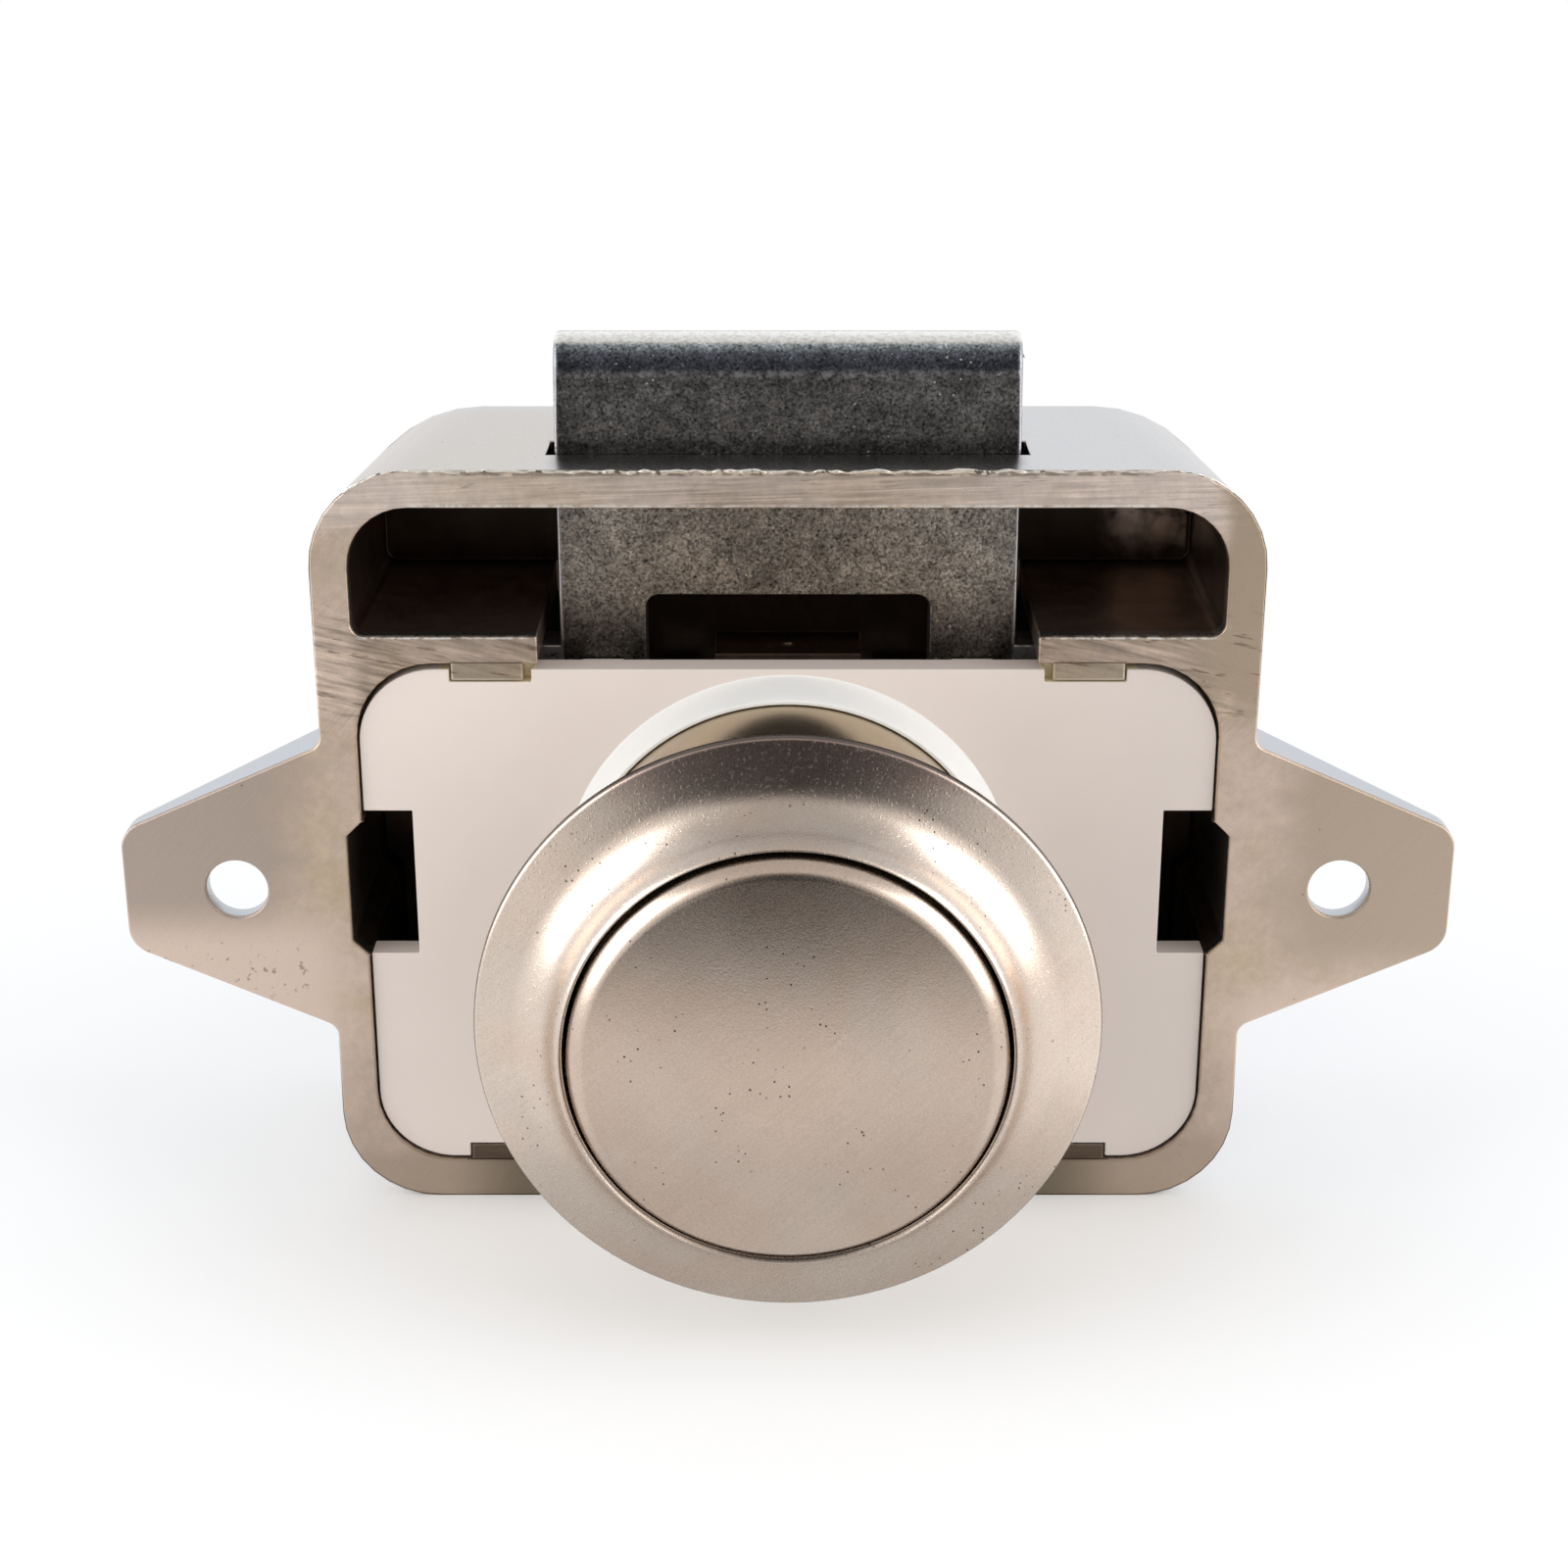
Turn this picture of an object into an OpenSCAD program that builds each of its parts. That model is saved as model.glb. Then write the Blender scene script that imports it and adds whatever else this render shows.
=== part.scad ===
// Push button cabinet lock, drawn locked: bolt out at the top, button in.
// The origin is where the button's axis meets the face that lies on the door.
// X runs along the ears, Y to the back of the case, Z the way the bolt points.

/* [Case] */
// Width of the case
case_w = 53.3; // [52:0.1:58]
// Height of the case above the button's axis
case_top = 25; // [24.5:0.1:28]
// Height of the case below the button's axis
case_base = 20.2; // [20.2:0.1:24]
// Depth of the case behind the door face
case_d = 16.6; // [16.2:0.1:19]
// Thickness of the side and top walls
wall = 2.1; // [1.8:0.1:2.6]
// Thickness of the bottom wall
sill = 2.4; // [1.8:0.1:2.6]
// Thickness of the back wall
back_t = 2.1; // [1.4:0.1:2.4]
// Corner radius of the case at its front
corner_r = 5.6; // [4:0.1:7]
// Corner radius of the case at its back
back_corner_r = 8; // [6:0.1:9]
// How far each side draws in from front to back
draft = 0.3; // [0:0.05:0.4]
// Radius round the back edge
back_round = 0.5; // [0.3:0.1:1.2]

/* [Ears] */
// Length over the two ears
ear_span = 77; // [75:0.5:84]
// Distance between the two screw holes
hole_pitch = 64; // [62:0.5:66]
// Diameter of the screw holes
ear_hole_d = 3.6; // [3:0.1:4.5]
// Height of an ear where it leaves the case
ear_root_h = 18; // [14:0.5:20]
// Height of an ear at its tip
ear_tip_h = 8.4; // [7:0.1:11]
// Corner radius at the tip
ear_tip_r = 1.7; // [1:0.1:2.5]
// Thickness of an ear at the case
ear_root_t = 4.1; // [3.2:0.1:4.4]
// Thickness of an ear at its tip
ear_tip_t = 1.4; // [1:0.05:2]
// Diameter of the relief in an ear's back round a screw hole
ear_relief_d = 7; // [5.5:0.1:7.5]
// Thickness left at a screw hole
ear_hole_t = 1.35; // [1.1:0.05:1.6]
// Fillet between an ear's edges and the side of the case
ear_fillet_r = 0.9; // [0.4:0.1:1.5]

/* [Shelves and lugs in the case] */
// Height of a shelf's top above the button's axis
shelf_z = 15.4; // [15:0.1:17]
// Thickness of a shelf
shelf_t = 1.55; // [1.2:0.05:1.7]
// Gap between a shelf's end and the side of the bolt
shelf_gap = 1; // [0.5:0.05:1.4]
// Distance from the centre to the middle of a lug that holds the plate
lug_x = 17; // [16.8:0.05:18]
// Width of a lug
lug_w = 4.1; // [3:0.1:5]
// How far an upper lug reaches over the plate
lug_h = 1.1; // [0.8:0.05:1.3]
// How far a lower lug reaches over the plate
sill_lug_h = 0.9; // [0.6:0.05:1.2]
// How far a lug's front lies behind the door face
lug_inset = 0.25; // [0.1:0.05:0.4]
// Thickness of a lug
lug_t = 1; // [0.8:0.05:1.1]
// Height of the recess in each side wall
recess_h = 6.6; // [5:0.1:9]
// Depth of that recess
recess_d = 0.9; // [0.5:0.05:1.1]
// Width of the boss that holds the cam follower
boss_w = 8.8; // [6:0.1:9]
// Thickness of that boss
boss_t = 1.6; // [1.2:0.1:1.8]
// Length of that boss along the button's axis
boss_l = 4; // [3:0.1:4.2]
// Diameter of the hole behind the button screw
access_d = 6.6; // [6.4:0.1:8]

/* [Bolt] */
// Width of the bolt
bolt_w = 26.2; // [25:0.1:27]
// Thickness of the bolt
bolt_t = 2.8; // [2.5:0.05:3]
// How far the bolt moves, and stands out of the case when locked
bolt_throw = 6.4; // [5:0.1:6.8]
// Radius of the bolt's front top edge
nose_r = 1.9; // [1:0.1:2.2]
// Radius of the bolt's rear top edge
nose_back_r = 0.5; // [0.2:0.1:0.6]
// Height of solid bolt above its window
bolt_bar = 14.8; // [14:0.1:15.4]
// Corner radius of the window
window_r = 0.8; // [0.4:0.1:1.5]
// Width over the bolt's wings
wing_w = 41; // [38.5:0.1:44]
// Height of a wing
wing_h = 5.5; // [4:0.1:7]
// Width of the tongue that rides on the plunger's ramp
tongue_w = 6.8; // [5:0.1:7.2]

/* [Mechanism plate] */
// How far the plate lies behind the door face
plate_inset = 0.3; // [0.2:0.05:0.5]
// Thickness of the plate
plate_t = 1.8; // [1.7:0.05:2.1]
// Corner radius of the plate
plate_r = 4.4; // [3:0.1:6]
// Gap between the plate's top edge and the shelves
plate_top_gap = 0.45; // [0.3:0.05:0.6]
// Height of the notch in each side of the plate
notch_h = 9; // [8.1:0.1:10]
// Height of the notch's middle above the button's axis
notch_z = 0.3; // [0:0.1:0.5]
// Depth of that notch
notch_d = 2.8; // [2:0.1:3.4]
// How far the collar stands out of the plate
collar_h = 2.3; // [2:0.1:3.5]
// Thickness of the collar where it leaves the plate
collar_base_t = 0.95; // [0.6:0.05:1.2]
// Thickness of the collar at its edge
collar_edge_t = 0.25; // [0.2:0.05:0.5]
// Depth of the collar's seat below the plate's face
seat_d = 0.3; // [0.1:0.05:0.5]
// Height of the button spring's ledge above that seat
ledge_h = 1.2; // [1:0.1:1.4]
// Outer radius of that ledge
ledge_r = 10.8; // [10.4:0.1:11]
// Height of the rails that guide the bolt
rail_h = 1.75; // [1.5:0.05:2]
// Width of a rail
rail_w = 2.4; // [1.6:0.1:2.6]
// Room beside each lug in its pocket, on the side of the plate's middle
lug_play = 0.45; // [0.2:0.05:0.6]

/* [Button and plunger] */
// How far the button stands out when it is released
travel = 8; // [7:0.1:8.2]
// How far it can be pressed beyond its locked place
over_travel = 1.2; // [0.8:0.05:1.3]
// Diameter of the button
button_d = 22.6; // [22:0.1:26]
// Height of the locked button above the rosette's lip
button_proud = 1.2; // [0.8:0.1:2]
// Radius round the button's face
button_edge_r = 0.9; // [0.4:0.1:1.3]
// Height of the crown of the button's face
button_crown = 0.15; // [0.1:0.05:0.4]
// Length of the button's skirt
skirt_l = 17; // [15:0.5:19]
// Thickness of the skirt
skirt_t = 0.95; // [0.8:0.05:1.1]
// Thickness of the button's face
face_t = 1.6; // [1.3:0.1:2]
// Diameter of the boss inside the button
stud_d = 8.4; // [7:0.1:9]
// Length of that boss
stud_l = 4.8; // [4:0.1:5.5]
// Diameter of the plunger's neck
neck_d = 12.4; // [11.5:0.1:13]
// Width of the plunger's block
block_w = 15.6; // [14:0.1:16]
// Height of the plunger's block
block_h = 15.2; // [14.6:0.1:15.6]
// Height of the ramp's start below the axis
ramp_drop = 3.9; // [3.7:0.1:4.4]
// Width of a stop ear on the block
stop_w = 2.5; // [2:0.1:2.7]
// Height of a stop ear above the block
stop_h = 1.7; // [1.2:0.1:1.8]

/* [Heart-shaped track and its follower] */
// Diameter of the follower's wire
follower_d = 0.6; // [0.5:0.05:0.7]
// Sideways reach of the track's two lanes
lane_x = 1; // [0.9:0.05:1.2]
// Width of the track
track_w = 0.95; // [0.8:0.05:1]
// Depth of the track at the locked notch
track_depth = 1.4; // [1:0.1:1.6]
// Step in the track's depth from one stretch to the next
track_step = 0.15; // [0.1:0.05:0.2]
// Distance from the notch to where the lanes run straight
lane_start = 0.5; // [0.4:0.1:0.8]
// Length of the stretch where the two lanes meet
merge_l = 2.4; // [2:0.1:3]
// Radius of the bends in the follower's wire
follower_bend_r = 0.7; // [0.5:0.05:0.9]
// Height of the follower's arm above the block
arm_gap = 0.25; // [0.2:0.05:0.4]
// Gap under the follower's tip in the notch
tip_gap = 0.15; // [0.1:0.05:0.3]
// Length of boss behind the follower's upright leg
boss_grip = 2.2; // [1.5:0.1:2.4]

/* [Screw and washer] */
// Diameter of the screw
screw_d = 3; // [2.5:0.1:3]
// Length of the screw under its head
screw_l = 14; // [13:0.5:14.5]
// Diameter of the screw's head
head_d = 5.4; // [5:0.1:5.6]
// Height of the screw's head
head_h = 2; // [1.5:0.1:2.4]
// Thickness of the plunger between washer and button
grip = 10; // [9.5:0.1:10.5]
// Diameter of the washer
washer_d = 5.8; // [5.6:0.1:5.9]
// Thickness of the washer
washer_t = 0.5; // [0.3:0.05:0.8]

/* [Rosette and sleeve] */
// Thickness of the door between the case and the rosette
door_t = 18; // [16:0.1:19]
// Diameter of the rosette
rosette_d = 32.7; // [31:0.1:38]
// Height of the rosette
rosette_h = 4.1; // [3.6:0.1:5]
// Thickness of the rosette's brim at its edge
brim_t = 0.55; // [0.45:0.05:0.8]
// How much thicker the brim is where the cove starts
brim_rise = 0.35; // [0.2:0.05:0.5]
// Width of the flat top of the lip
lip_w = 0.3; // [0.25:0.05:0.6]
// Gap between the lip and the button
lip_gap = 0.45; // [0.25:0.05:0.6]
// Thickness of the lip below its top
lip_t = 1.5; // [1:0.1:1.8]
// Gap between the lip's shoulder and the end of the sleeve
shadow_gap = 0.4; // [0.2:0.05:0.6]
// Thickness of the sleeve's wall
sleeve_t = 0.6; // [0.5:0.05:0.8]

/* [Springs] */
// Wire diameter of the button spring
button_wire_d = 0.8; // [0.7:0.05:0.9]
// Coils of the button spring
button_coils = 7; // [5:1:8]
// Rise of a spring's first and last turn beyond its wire
end_rise = 0.45; // [0.42:0.01:0.6]
// Wire diameter of the two bolt springs
bolt_wire_d = 0.5; // [0.4:0.05:0.55]
// Outside diameter of a bolt spring
bolt_coil_d = 3.9; // [3.7:0.05:4]
// Coils of a bolt spring
bolt_coils = 12; // [10:1:13]
// Distance between the two bolt springs
bolt_spring_pitch = 34; // [33:0.5:35]
// Length of the pegs and posts inside the bolt springs
peg_l = 2.2; // [1.5:0.1:3]

/* [Clearances] */
// Gap round the fixed plate
fit_gap = 0.1; // [0.1:0.05:0.2]
// Gap beside the sliding bolt
slide_gap = 0.25; // [0.2:0.05:0.3]
// Gap round the button and the plunger
run_gap = 0.15; // [0.1:0.05:0.2]
// Gap between the ramp and the bolt's tongue
ramp_gap = 0.1; // [0.05:0.01:0.15]
// Gap where a moving piece stops short of a fixed one
stop_gap = 0.3; // [0.2:0.05:0.4]
// Gap between the sleeve and what it sits in
seat_gap = 0.05; // [0.03:0.01:0.1]
// Gap round a coil spring
coil_gap = 0.2; // [0.15:0.05:0.25]
// Gap between a wire and a face that it passes
wire_gap = 0.1; // [0.05:0.05:0.2]
// Gap round the screw's shank
shank_gap = 0.1; // [0.05:0.05:0.2]

/* [Hidden] */

nickel = [0.72, 0.67, 0.60];
zinc = [0.45, 0.46, 0.47];
ivory = [0.90, 0.87, 0.80];
white_plastic = [0.86, 0.87, 0.86];
steel = [0.62, 0.63, 0.65];

cut = 0.5;
slice = 0.01;
smooth = 96;
fine = 48;
coarse = 32;

// Inside of the case
half_w = case_w / 2;
cavity_x = half_w - wall;
cavity_top = case_top - wall;
cavity_base = sill - case_base;
cavity_y = case_d - back_t;
inner_r = corner_r - wall;
shelf_under = shelf_z - shelf_t;
shelf_x = bolt_w / 2 + shelf_gap;
pocket_r = 0.8;
lug_y1 = lug_inset + lug_t;

// Stations along the button's axis, from the door face to the back
plate_y0 = plate_inset;
plate_y1 = plate_y0 + plate_t;
seat_y = plate_y0 + seat_d;
plate_x = cavity_x - cavity_draw(plate_y1) - fit_gap;
plate_z0 = floor_z(plate_y1) + fit_gap;
plate_z1 = shelf_under - plate_top_gap;
bolt_y0 = plate_y1 + rail_h + slide_gap;
bolt_y1 = bolt_y0 + bolt_t;
block_y1 = cavity_y - over_travel - stop_gap;
ramp_slope = bolt_throw / travel;

// Stations in front of the door face
rosette_back = -door_t;
lip_y = rosette_back - rosette_h;
lip_under = lip_y + lip_t;
sleeve_front = lip_under + shadow_gap;
face_y = lip_y - button_proud;
face_in = face_y + face_t;
stud_end = face_in + stud_l;
crown_r = (pow(button_d / 2, 2) + pow(button_crown, 2)) / (2 * button_crown);
washer_seat = stud_end + grip;

// Radii round the button's axis
button_r = button_d / 2;
skirt_in = button_r - skirt_t;
sleeve_in = button_r + run_gap;
sleeve_out = sleeve_in + sleeve_t;
lip_in = button_r + lip_gap;
lip_out = lip_in + lip_w;
collar_in = sleeve_out + seat_gap;
rings = 8;
sides = 6;
button_coil_r = skirt_in - coil_gap - button_wire_d / 2;
block_r = button_coil_r * cos(180 / rings) - button_wire_d / 2 - coil_gap - wire_gap;
bore_r = washer_d / 2 + 2 * shank_gap;

// Bolt and its springs
nose_z = case_top + bolt_throw;
window_top = nose_z - bolt_bar;
window_w = block_w + 2 * stop_gap + wire_gap;
window_base = -block_h / 2 - stop_gap;
rail_x = (window_w / 2 + bolt_w / 2) / 2;
wing_top = shelf_under - stop_gap;
wing_base = wing_top - wing_h;
bolt_base = floor_z(bolt_y1) + bolt_throw + stop_gap;
peg_r = bolt_coil_d / 2 * cos(180 / rings) - bolt_wire_d - wire_gap;
bolt_spring_y = bolt_y1 - peg_r;

// Heart-shaped track, as places on the plunger when it is locked
notch_y = plate_y1 + wire_gap + follower_d / 2;
rest_y = notch_y + travel;
turn_y = notch_y - over_travel;
lane_y = notch_y + lane_start;
merge_y = rest_y - merge_l;
half_lane = lane_x / 2;
// Each stretch: from, to, and how many steps shallower than the notch it is
TRACK = [
    [[0, rest_y], [-lane_x, merge_y], 2],
    [[-lane_x, merge_y], [-lane_x, lane_y], 3],
    [[-lane_x, lane_y], [-half_lane, turn_y], 1],
    [[-half_lane, turn_y], [0, notch_y], 0],
    [[0, notch_y], [half_lane, turn_y], -1],
    [[half_lane, turn_y], [lane_x, lane_y], 2],
    [[lane_x, lane_y], [lane_x, merge_y], 4],
    [[lane_x, merge_y], [0, rest_y], 3]
];
boss_y = cavity_y - boss_l;
boss_z0 = block_h / 2 + stop_h;
follower_z = block_h / 2 + arm_gap + follower_d / 2;
follower_pivot_y = cavity_y - boss_grip;

// How far the case's inner walls have drawn in at a place y
function cavity_draw(y) = draft / 2 * (y + cut) / (cavity_y + cut);

// Height of the case's inner floor at a place y, which rises with the draft
function floor_z(y) = cavity_base + cavity_draw(y);

// Underside of the plunger's ramp at a place y, with the plunger locked
function ramp_z(y) = -ramp_drop - ramp_slope * max(0, y - bolt_y0);

// What is cut from a front outer edge, in a half section, to round it
module edge_round(r) {
    difference() {
        rect(-r, cut, -cut, r);
        translate([-r, r]) circle(r, $fn = smooth);
    }
}

// A flat shape in X and Z, made solid from y0 to y1
module along_y(y0, y1) {
    translate([0, y1, 0])
        rotate([90, 0, 0])
            linear_extrude(y1 - y0) children();
}

// A flat shape in Y and Z, made solid across the middle to a given width
module along_x(width) {
    rotate([90, 0, 90])
        linear_extrude(width, center = true) children();
}

// A flat shape in radius and Y, turned round the button's axis
module round_y() {
    rotate([90, 0, 0])
        rotate_extrude($fn = smooth) mirror([0, 1]) children();
}

module cyl_y(r, y0, y1) {
    translate([0, y1, 0])
        rotate([90, 0, 0])
            cylinder(r = r, h = y1 - y0, $fn = fine);
}

module both_sides() {
    children();
    mirror([1, 0, 0]) children();
}

module rect(x0, x1, z0, z1) {
    translate([x0, z0]) square([x1 - x0, z1 - z0]);
}

// Rectangle with round corners, from true squares and circles
module soft_rect(x0, x1, z0, z1, r) {
    rect(x0 + r, x1 - r, z0, z1);
    rect(x0, x1, z0 + r, z1 - r);
    for (x = [x0 + r, x1 - r], z = [z0 + r, z1 - r])
        translate([x, z]) circle(r, $fn = fine);
}

// The four corners of a round-cornered section, with their own radii above and below
module corners(x, z0, z1, r_top, r_base) {
    for (side = [-1, 1]) {
        translate([side * (x - r_top), z1 - r_top]) circle(r_top, $fn = coarse);
        translate([side * (x - r_base), z0 + r_base]) circle(r_base, $fn = coarse);
    }
}

// Outside of the case: its corners widen and its sides draw in towards a rounded back edge
module case_block() {
    hull() {
        along_y(0, slice) corners(half_w, -case_base, case_top, corner_r, corner_r);
        for (a = [0, 30, 60, 90]) {
            inset = draft + back_round * (1 - cos(a));
            y = case_d - back_round * (1 - sin(a));
            r = back_corner_r - back_round * (1 - cos(a));
            along_y(y - slice, y)
                corners(half_w - inset, inset - case_base, case_top - inset, r, r);
        }
    }
}

// Round-cornered room in the case that draws in towards the back
module drawn_room(z0, z1, r_top, r_base) {
    pull = draft / 2;
    hull() {
        along_y(-cut, slice - cut) corners(cavity_x, z0, z1, r_top, r_base);
        along_y(cavity_y - slice, cavity_y)
            corners(cavity_x - pull, z0 + pull, z1 - pull, r_top - pull / 2, r_base - pull / 2);
    }
}

// Capsule-shaped slot between two points
module slot(a, b, w) {
    d = b - a;
    translate(a) circle(w / 2, $fn = 24);
    translate(b) circle(w / 2, $fn = 24);
    translate(a)
        rotate(atan2(d.y, d.x))
            translate([0, -w / 2]) square([norm(d), w]);
}

// Outline of the plunger's block, grown by a gap
module block_outline(gap) {
    intersection() {
        circle(block_r + gap, $fn = smooth);
        square([block_w + 2 * gap, block_h + 2 * gap], center = true);
    }
}

// Case, ears and everything cast in one with them

// Fillet where an ear's upper edge, falling at a given angle, meets the side of the case
module ear_fillet(fall) {
    corner = [half_w, ear_root_h / 2 - draft * tan(fall)];
    reach = ear_fillet_r / tan(45 + fall / 2);
    middle = corner + [ear_fillet_r, reach];
    difference() {
        polygon([corner - [cut, 0], corner + [0, reach] - [cut, 0], corner + [0, reach], middle,
                 corner + reach * [cos(fall), -sin(fall)]]);
        translate(middle) circle(ear_fillet_r, $fn = fine);
    }
}

module ear_plate() {
    tip_x = ear_span / 2;
    root = [half_w - draft, ear_root_h / 2];
    tip = [tip_x - ear_tip_r, ear_tip_h / 2 - ear_tip_r];
    fall = atan2(root.y - tip.y, tip.x - root.x) - asin(ear_tip_r / norm(tip - root));
    intersection() {
        along_y(0, ear_root_t) {
            hull() {
                for (x = [-1, 1], z = [-1, 1])
                    translate([x * tip.x, z * tip.y]) circle(ear_tip_r, $fn = fine);
                square(2 * root, center = true);
            }
            for (x = [0, 1], z = [0, 1])
                mirror([x, 0]) mirror([0, z]) ear_fillet(fall);
        }
        linear_extrude(ear_root_h + 2 * cut, center = true)
            polygon([
                [-tip_x, 0], [tip_x, 0], [tip_x, ear_tip_t], [half_w, ear_root_t],
                [-half_w, ear_root_t], [-tip_x, ear_tip_t]
            ]);
    }
}

// Hollow of the case: one large bay below the shelves, and the room above them
module case_hollow() {
    bay_r = plate_r + fit_gap;
    drawn_room(cavity_base, shelf_under, bay_r, bay_r);
    drawn_room(shelf_z, cavity_top, inner_r, pocket_r);
    along_y(-cut, cavity_y)
        rect(-shelf_x, shelf_x, shelf_under - plate_r, shelf_z + inner_r);
    both_sides() along_y(-cut, cavity_y) side_recess();
}

module both_flat() {
    children();
    mirror([1, 0]) children();
}

// Recess in a side wall, with sloping ends
module side_recess() {
    polygon([
        [cavity_x - cut, -recess_h / 2 - recess_d], [cavity_x, -recess_h / 2 - recess_d],
        [cavity_x + recess_d, -recess_h / 2], [cavity_x + recess_d, recess_h / 2],
        [cavity_x, recess_h / 2 + recess_d], [cavity_x - cut, recess_h / 2 + recess_d]
    ]);
}

// Lugs that hold the plate down, at the shelves and at the bottom wall
module plate_lugs() {
    both_sides()
        along_y(lug_inset, lug_y1) {
            rect(lug_x - lug_w / 2, lug_x + lug_w / 2, shelf_under - lug_h, shelf_under + cut);
            rect(lug_x - lug_w / 2, lug_x + lug_w / 2, cavity_base - cut, cavity_base + sill_lug_h);
        }
}

// Rails behind the bolt, on the back wall
module back_rails() {
    both_sides()
        along_y(bolt_y1 + slide_gap, cavity_y + cut)
            rect(rail_x - rail_w / 2, rail_x + rail_w / 2, cavity_base - cut, shelf_under);
}

module follower_boss() {
    difference() {
        along_y(boss_y, cavity_y + cut)
            rect(-boss_w / 2, boss_w / 2, boss_z0, boss_z0 + boss_t);
        translate([0, follower_pivot_y, boss_z0 - cut])
            cylinder(d = follower_d + seat_gap, h = boss_t + 2 * cut, $fn = 24);
    }
}

module spring_posts() {
    for (side = [-1, 1])
        translate([side * bolt_spring_pitch / 2, bolt_spring_y, cavity_base - cut])
            cylinder(r = peg_r, h = peg_l + cut, $fn = fine);
}

module lock_case() {
    color(nickel)
        difference() {
            union() {
                difference() {
                    union() {
                        case_block();
                        ear_plate();
                    }
                    case_hollow();
                }
                plate_lugs();
                back_rails();
                follower_boss();
                spring_posts();
            }
            bolt_slot();
            for (side = [-1, 1])
                translate([side * hole_pitch / 2, 0, 0]) {
                    cyl_y(ear_hole_d / 2, -cut, ear_root_t + cut);
                    cyl_y(ear_relief_d / 2, ear_hole_t, ear_root_t + cut);
                }
            cyl_y(access_d / 2, cavity_y - cut, case_d + cut);
        }
}

// Slot in the top wall for the bolt
module bolt_slot() {
    along_y(bolt_y0 - slide_gap, bolt_y1 + slide_gap)
        rect(-bolt_w / 2 - shelf_gap / 2, bolt_w / 2 + shelf_gap / 2, cavity_top - cut, case_top + cut);
}

// Plate that closes the case, with the collar for the sleeve

module plate_outline() {
    difference() {
        soft_rect(-plate_x, plate_x, plate_z0, plate_z1, plate_r);
        both_flat()
            rect(plate_x - notch_d, plate_x + cut, notch_z - notch_h / 2, notch_z + notch_h / 2);
    }
}

// Pockets in the plate's face for the upper and lower lugs
module lug_pockets() {
    x0 = lug_x - lug_w / 2 - lug_play;
    x1 = lug_x + lug_w / 2 + fit_gap;
    both_sides()
        along_y(plate_y0 - cut, lug_y1 + fit_gap) {
            rect(x0, x1, shelf_under - lug_h - fit_gap, plate_z1 + cut);
            rect(x0, x1, plate_z0 - cut, cavity_base + sill_lug_h + fit_gap);
        }
}

// Outline of the hole that the plunger's block and keel slide through
module plunger_hole() {
    block_outline(run_gap);
    rect(-tongue_w / 2 - run_gap, tongue_w / 2 + run_gap, ramp_z(plate_y1 + travel) - run_gap, 0);
}

module mechanism_plate() {
    color(ivory)
        difference() {
            union() {
                along_y(plate_y0, plate_y1) plate_outline();
                round_y()
                    polygon([
                        [0, plate_y0 + cut], [collar_in + collar_base_t, plate_y0 + cut],
                        [collar_in + collar_base_t, plate_y0],
                        [collar_in + collar_edge_t, plate_y0 - collar_h],
                        [0, plate_y0 - collar_h]
                    ]);
                both_sides()
                    along_y(plate_y1 - cut, plate_y1 + rail_h)
                        rect(rail_x - rail_w / 2, rail_x + rail_w / 2, cavity_base + 1, shelf_under - 1);
            }
            round_y()
                polygon([
                    [0, plate_y0 - collar_h - cut], [collar_in, plate_y0 - collar_h - cut],
                    [collar_in, seat_y], [ledge_r, seat_y], [ledge_r, seat_y - ledge_h],
                    [0, seat_y - ledge_h]
                ]);
            along_y(plate_y0 - ledge_h, plate_y1 + cut) plunger_hole();
            lug_pockets();
        }
}

// Bolt: a thick plate with a round nose, a window, wings and a sloping tongue

module bolt_outline() {
    difference() {
        union() {
            rect(-bolt_w / 2, bolt_w / 2, bolt_base, nose_z);
            rect(-wing_w / 2, wing_w / 2, wing_base, wing_top);
        }
        soft_rect(-window_w / 2, window_w / 2, window_base, window_top, window_r);
    }
}

// Side view of the bolt, with its rounded top
module bolt_side() {
    difference() {
        rect(bolt_y0, bolt_y1, bolt_base - cut, nose_z);
        translate([bolt_y0, nose_z - nose_r]) edge_cutter(nose_r, 0);
        translate([bolt_y1, nose_z - nose_back_r]) edge_cutter(nose_back_r, 1);
    }
}

// What is cut from a square corner to leave a quarter round, on the left or mirrored
module edge_cutter(r, flip) {
    mirror([flip, 0])
        difference() {
            rect(-cut, r, 0, r + cut);
            translate([r, 0]) circle(r, $fn = smooth);
        }
}

module bolt() {
    color(zinc) {
        intersection() {
            along_y(bolt_y0, bolt_y1) bolt_outline();
            along_x(wing_w + 2 * cut) bolt_side();
        }
        along_x(tongue_w - 2 * run_gap)
            polygon([
                [bolt_y0, window_base - cut], [bolt_y1, window_base - cut],
                [bolt_y1, ramp_z(bolt_y1) - ramp_gap], [bolt_y0, ramp_z(bolt_y0) - ramp_gap]
            ]);
        for (side = [-1, 1])
            translate([side * bolt_spring_pitch / 2, bolt_spring_y, wing_base - peg_l])
                cylinder(r = peg_r, h = peg_l + cut, $fn = fine);
    }
}

// Plunger: neck, block with the ramp below and the heart-shaped track on top

module heart_track() {
    for (t = TRACK)
        translate([0, 0, block_h / 2 - track_depth + t[2] * track_step])
            linear_extrude(track_depth + cut) slot(t[0], t[1], track_w);
}

// Everything below the ramp, from just ahead of the bolt to behind the block
module ramp_cut() {
    along_x(tongue_w + 2 * run_gap)
        polygon([
            [bolt_y0 - over_travel - run_gap, ramp_z(bolt_y0)], [bolt_y0, ramp_z(bolt_y0)],
            [block_y1 + cut, ramp_z(block_y1 + cut)], [block_y1 + cut, -case_base],
            [bolt_y0 - over_travel - run_gap, -case_base]
        ]);
}

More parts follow.
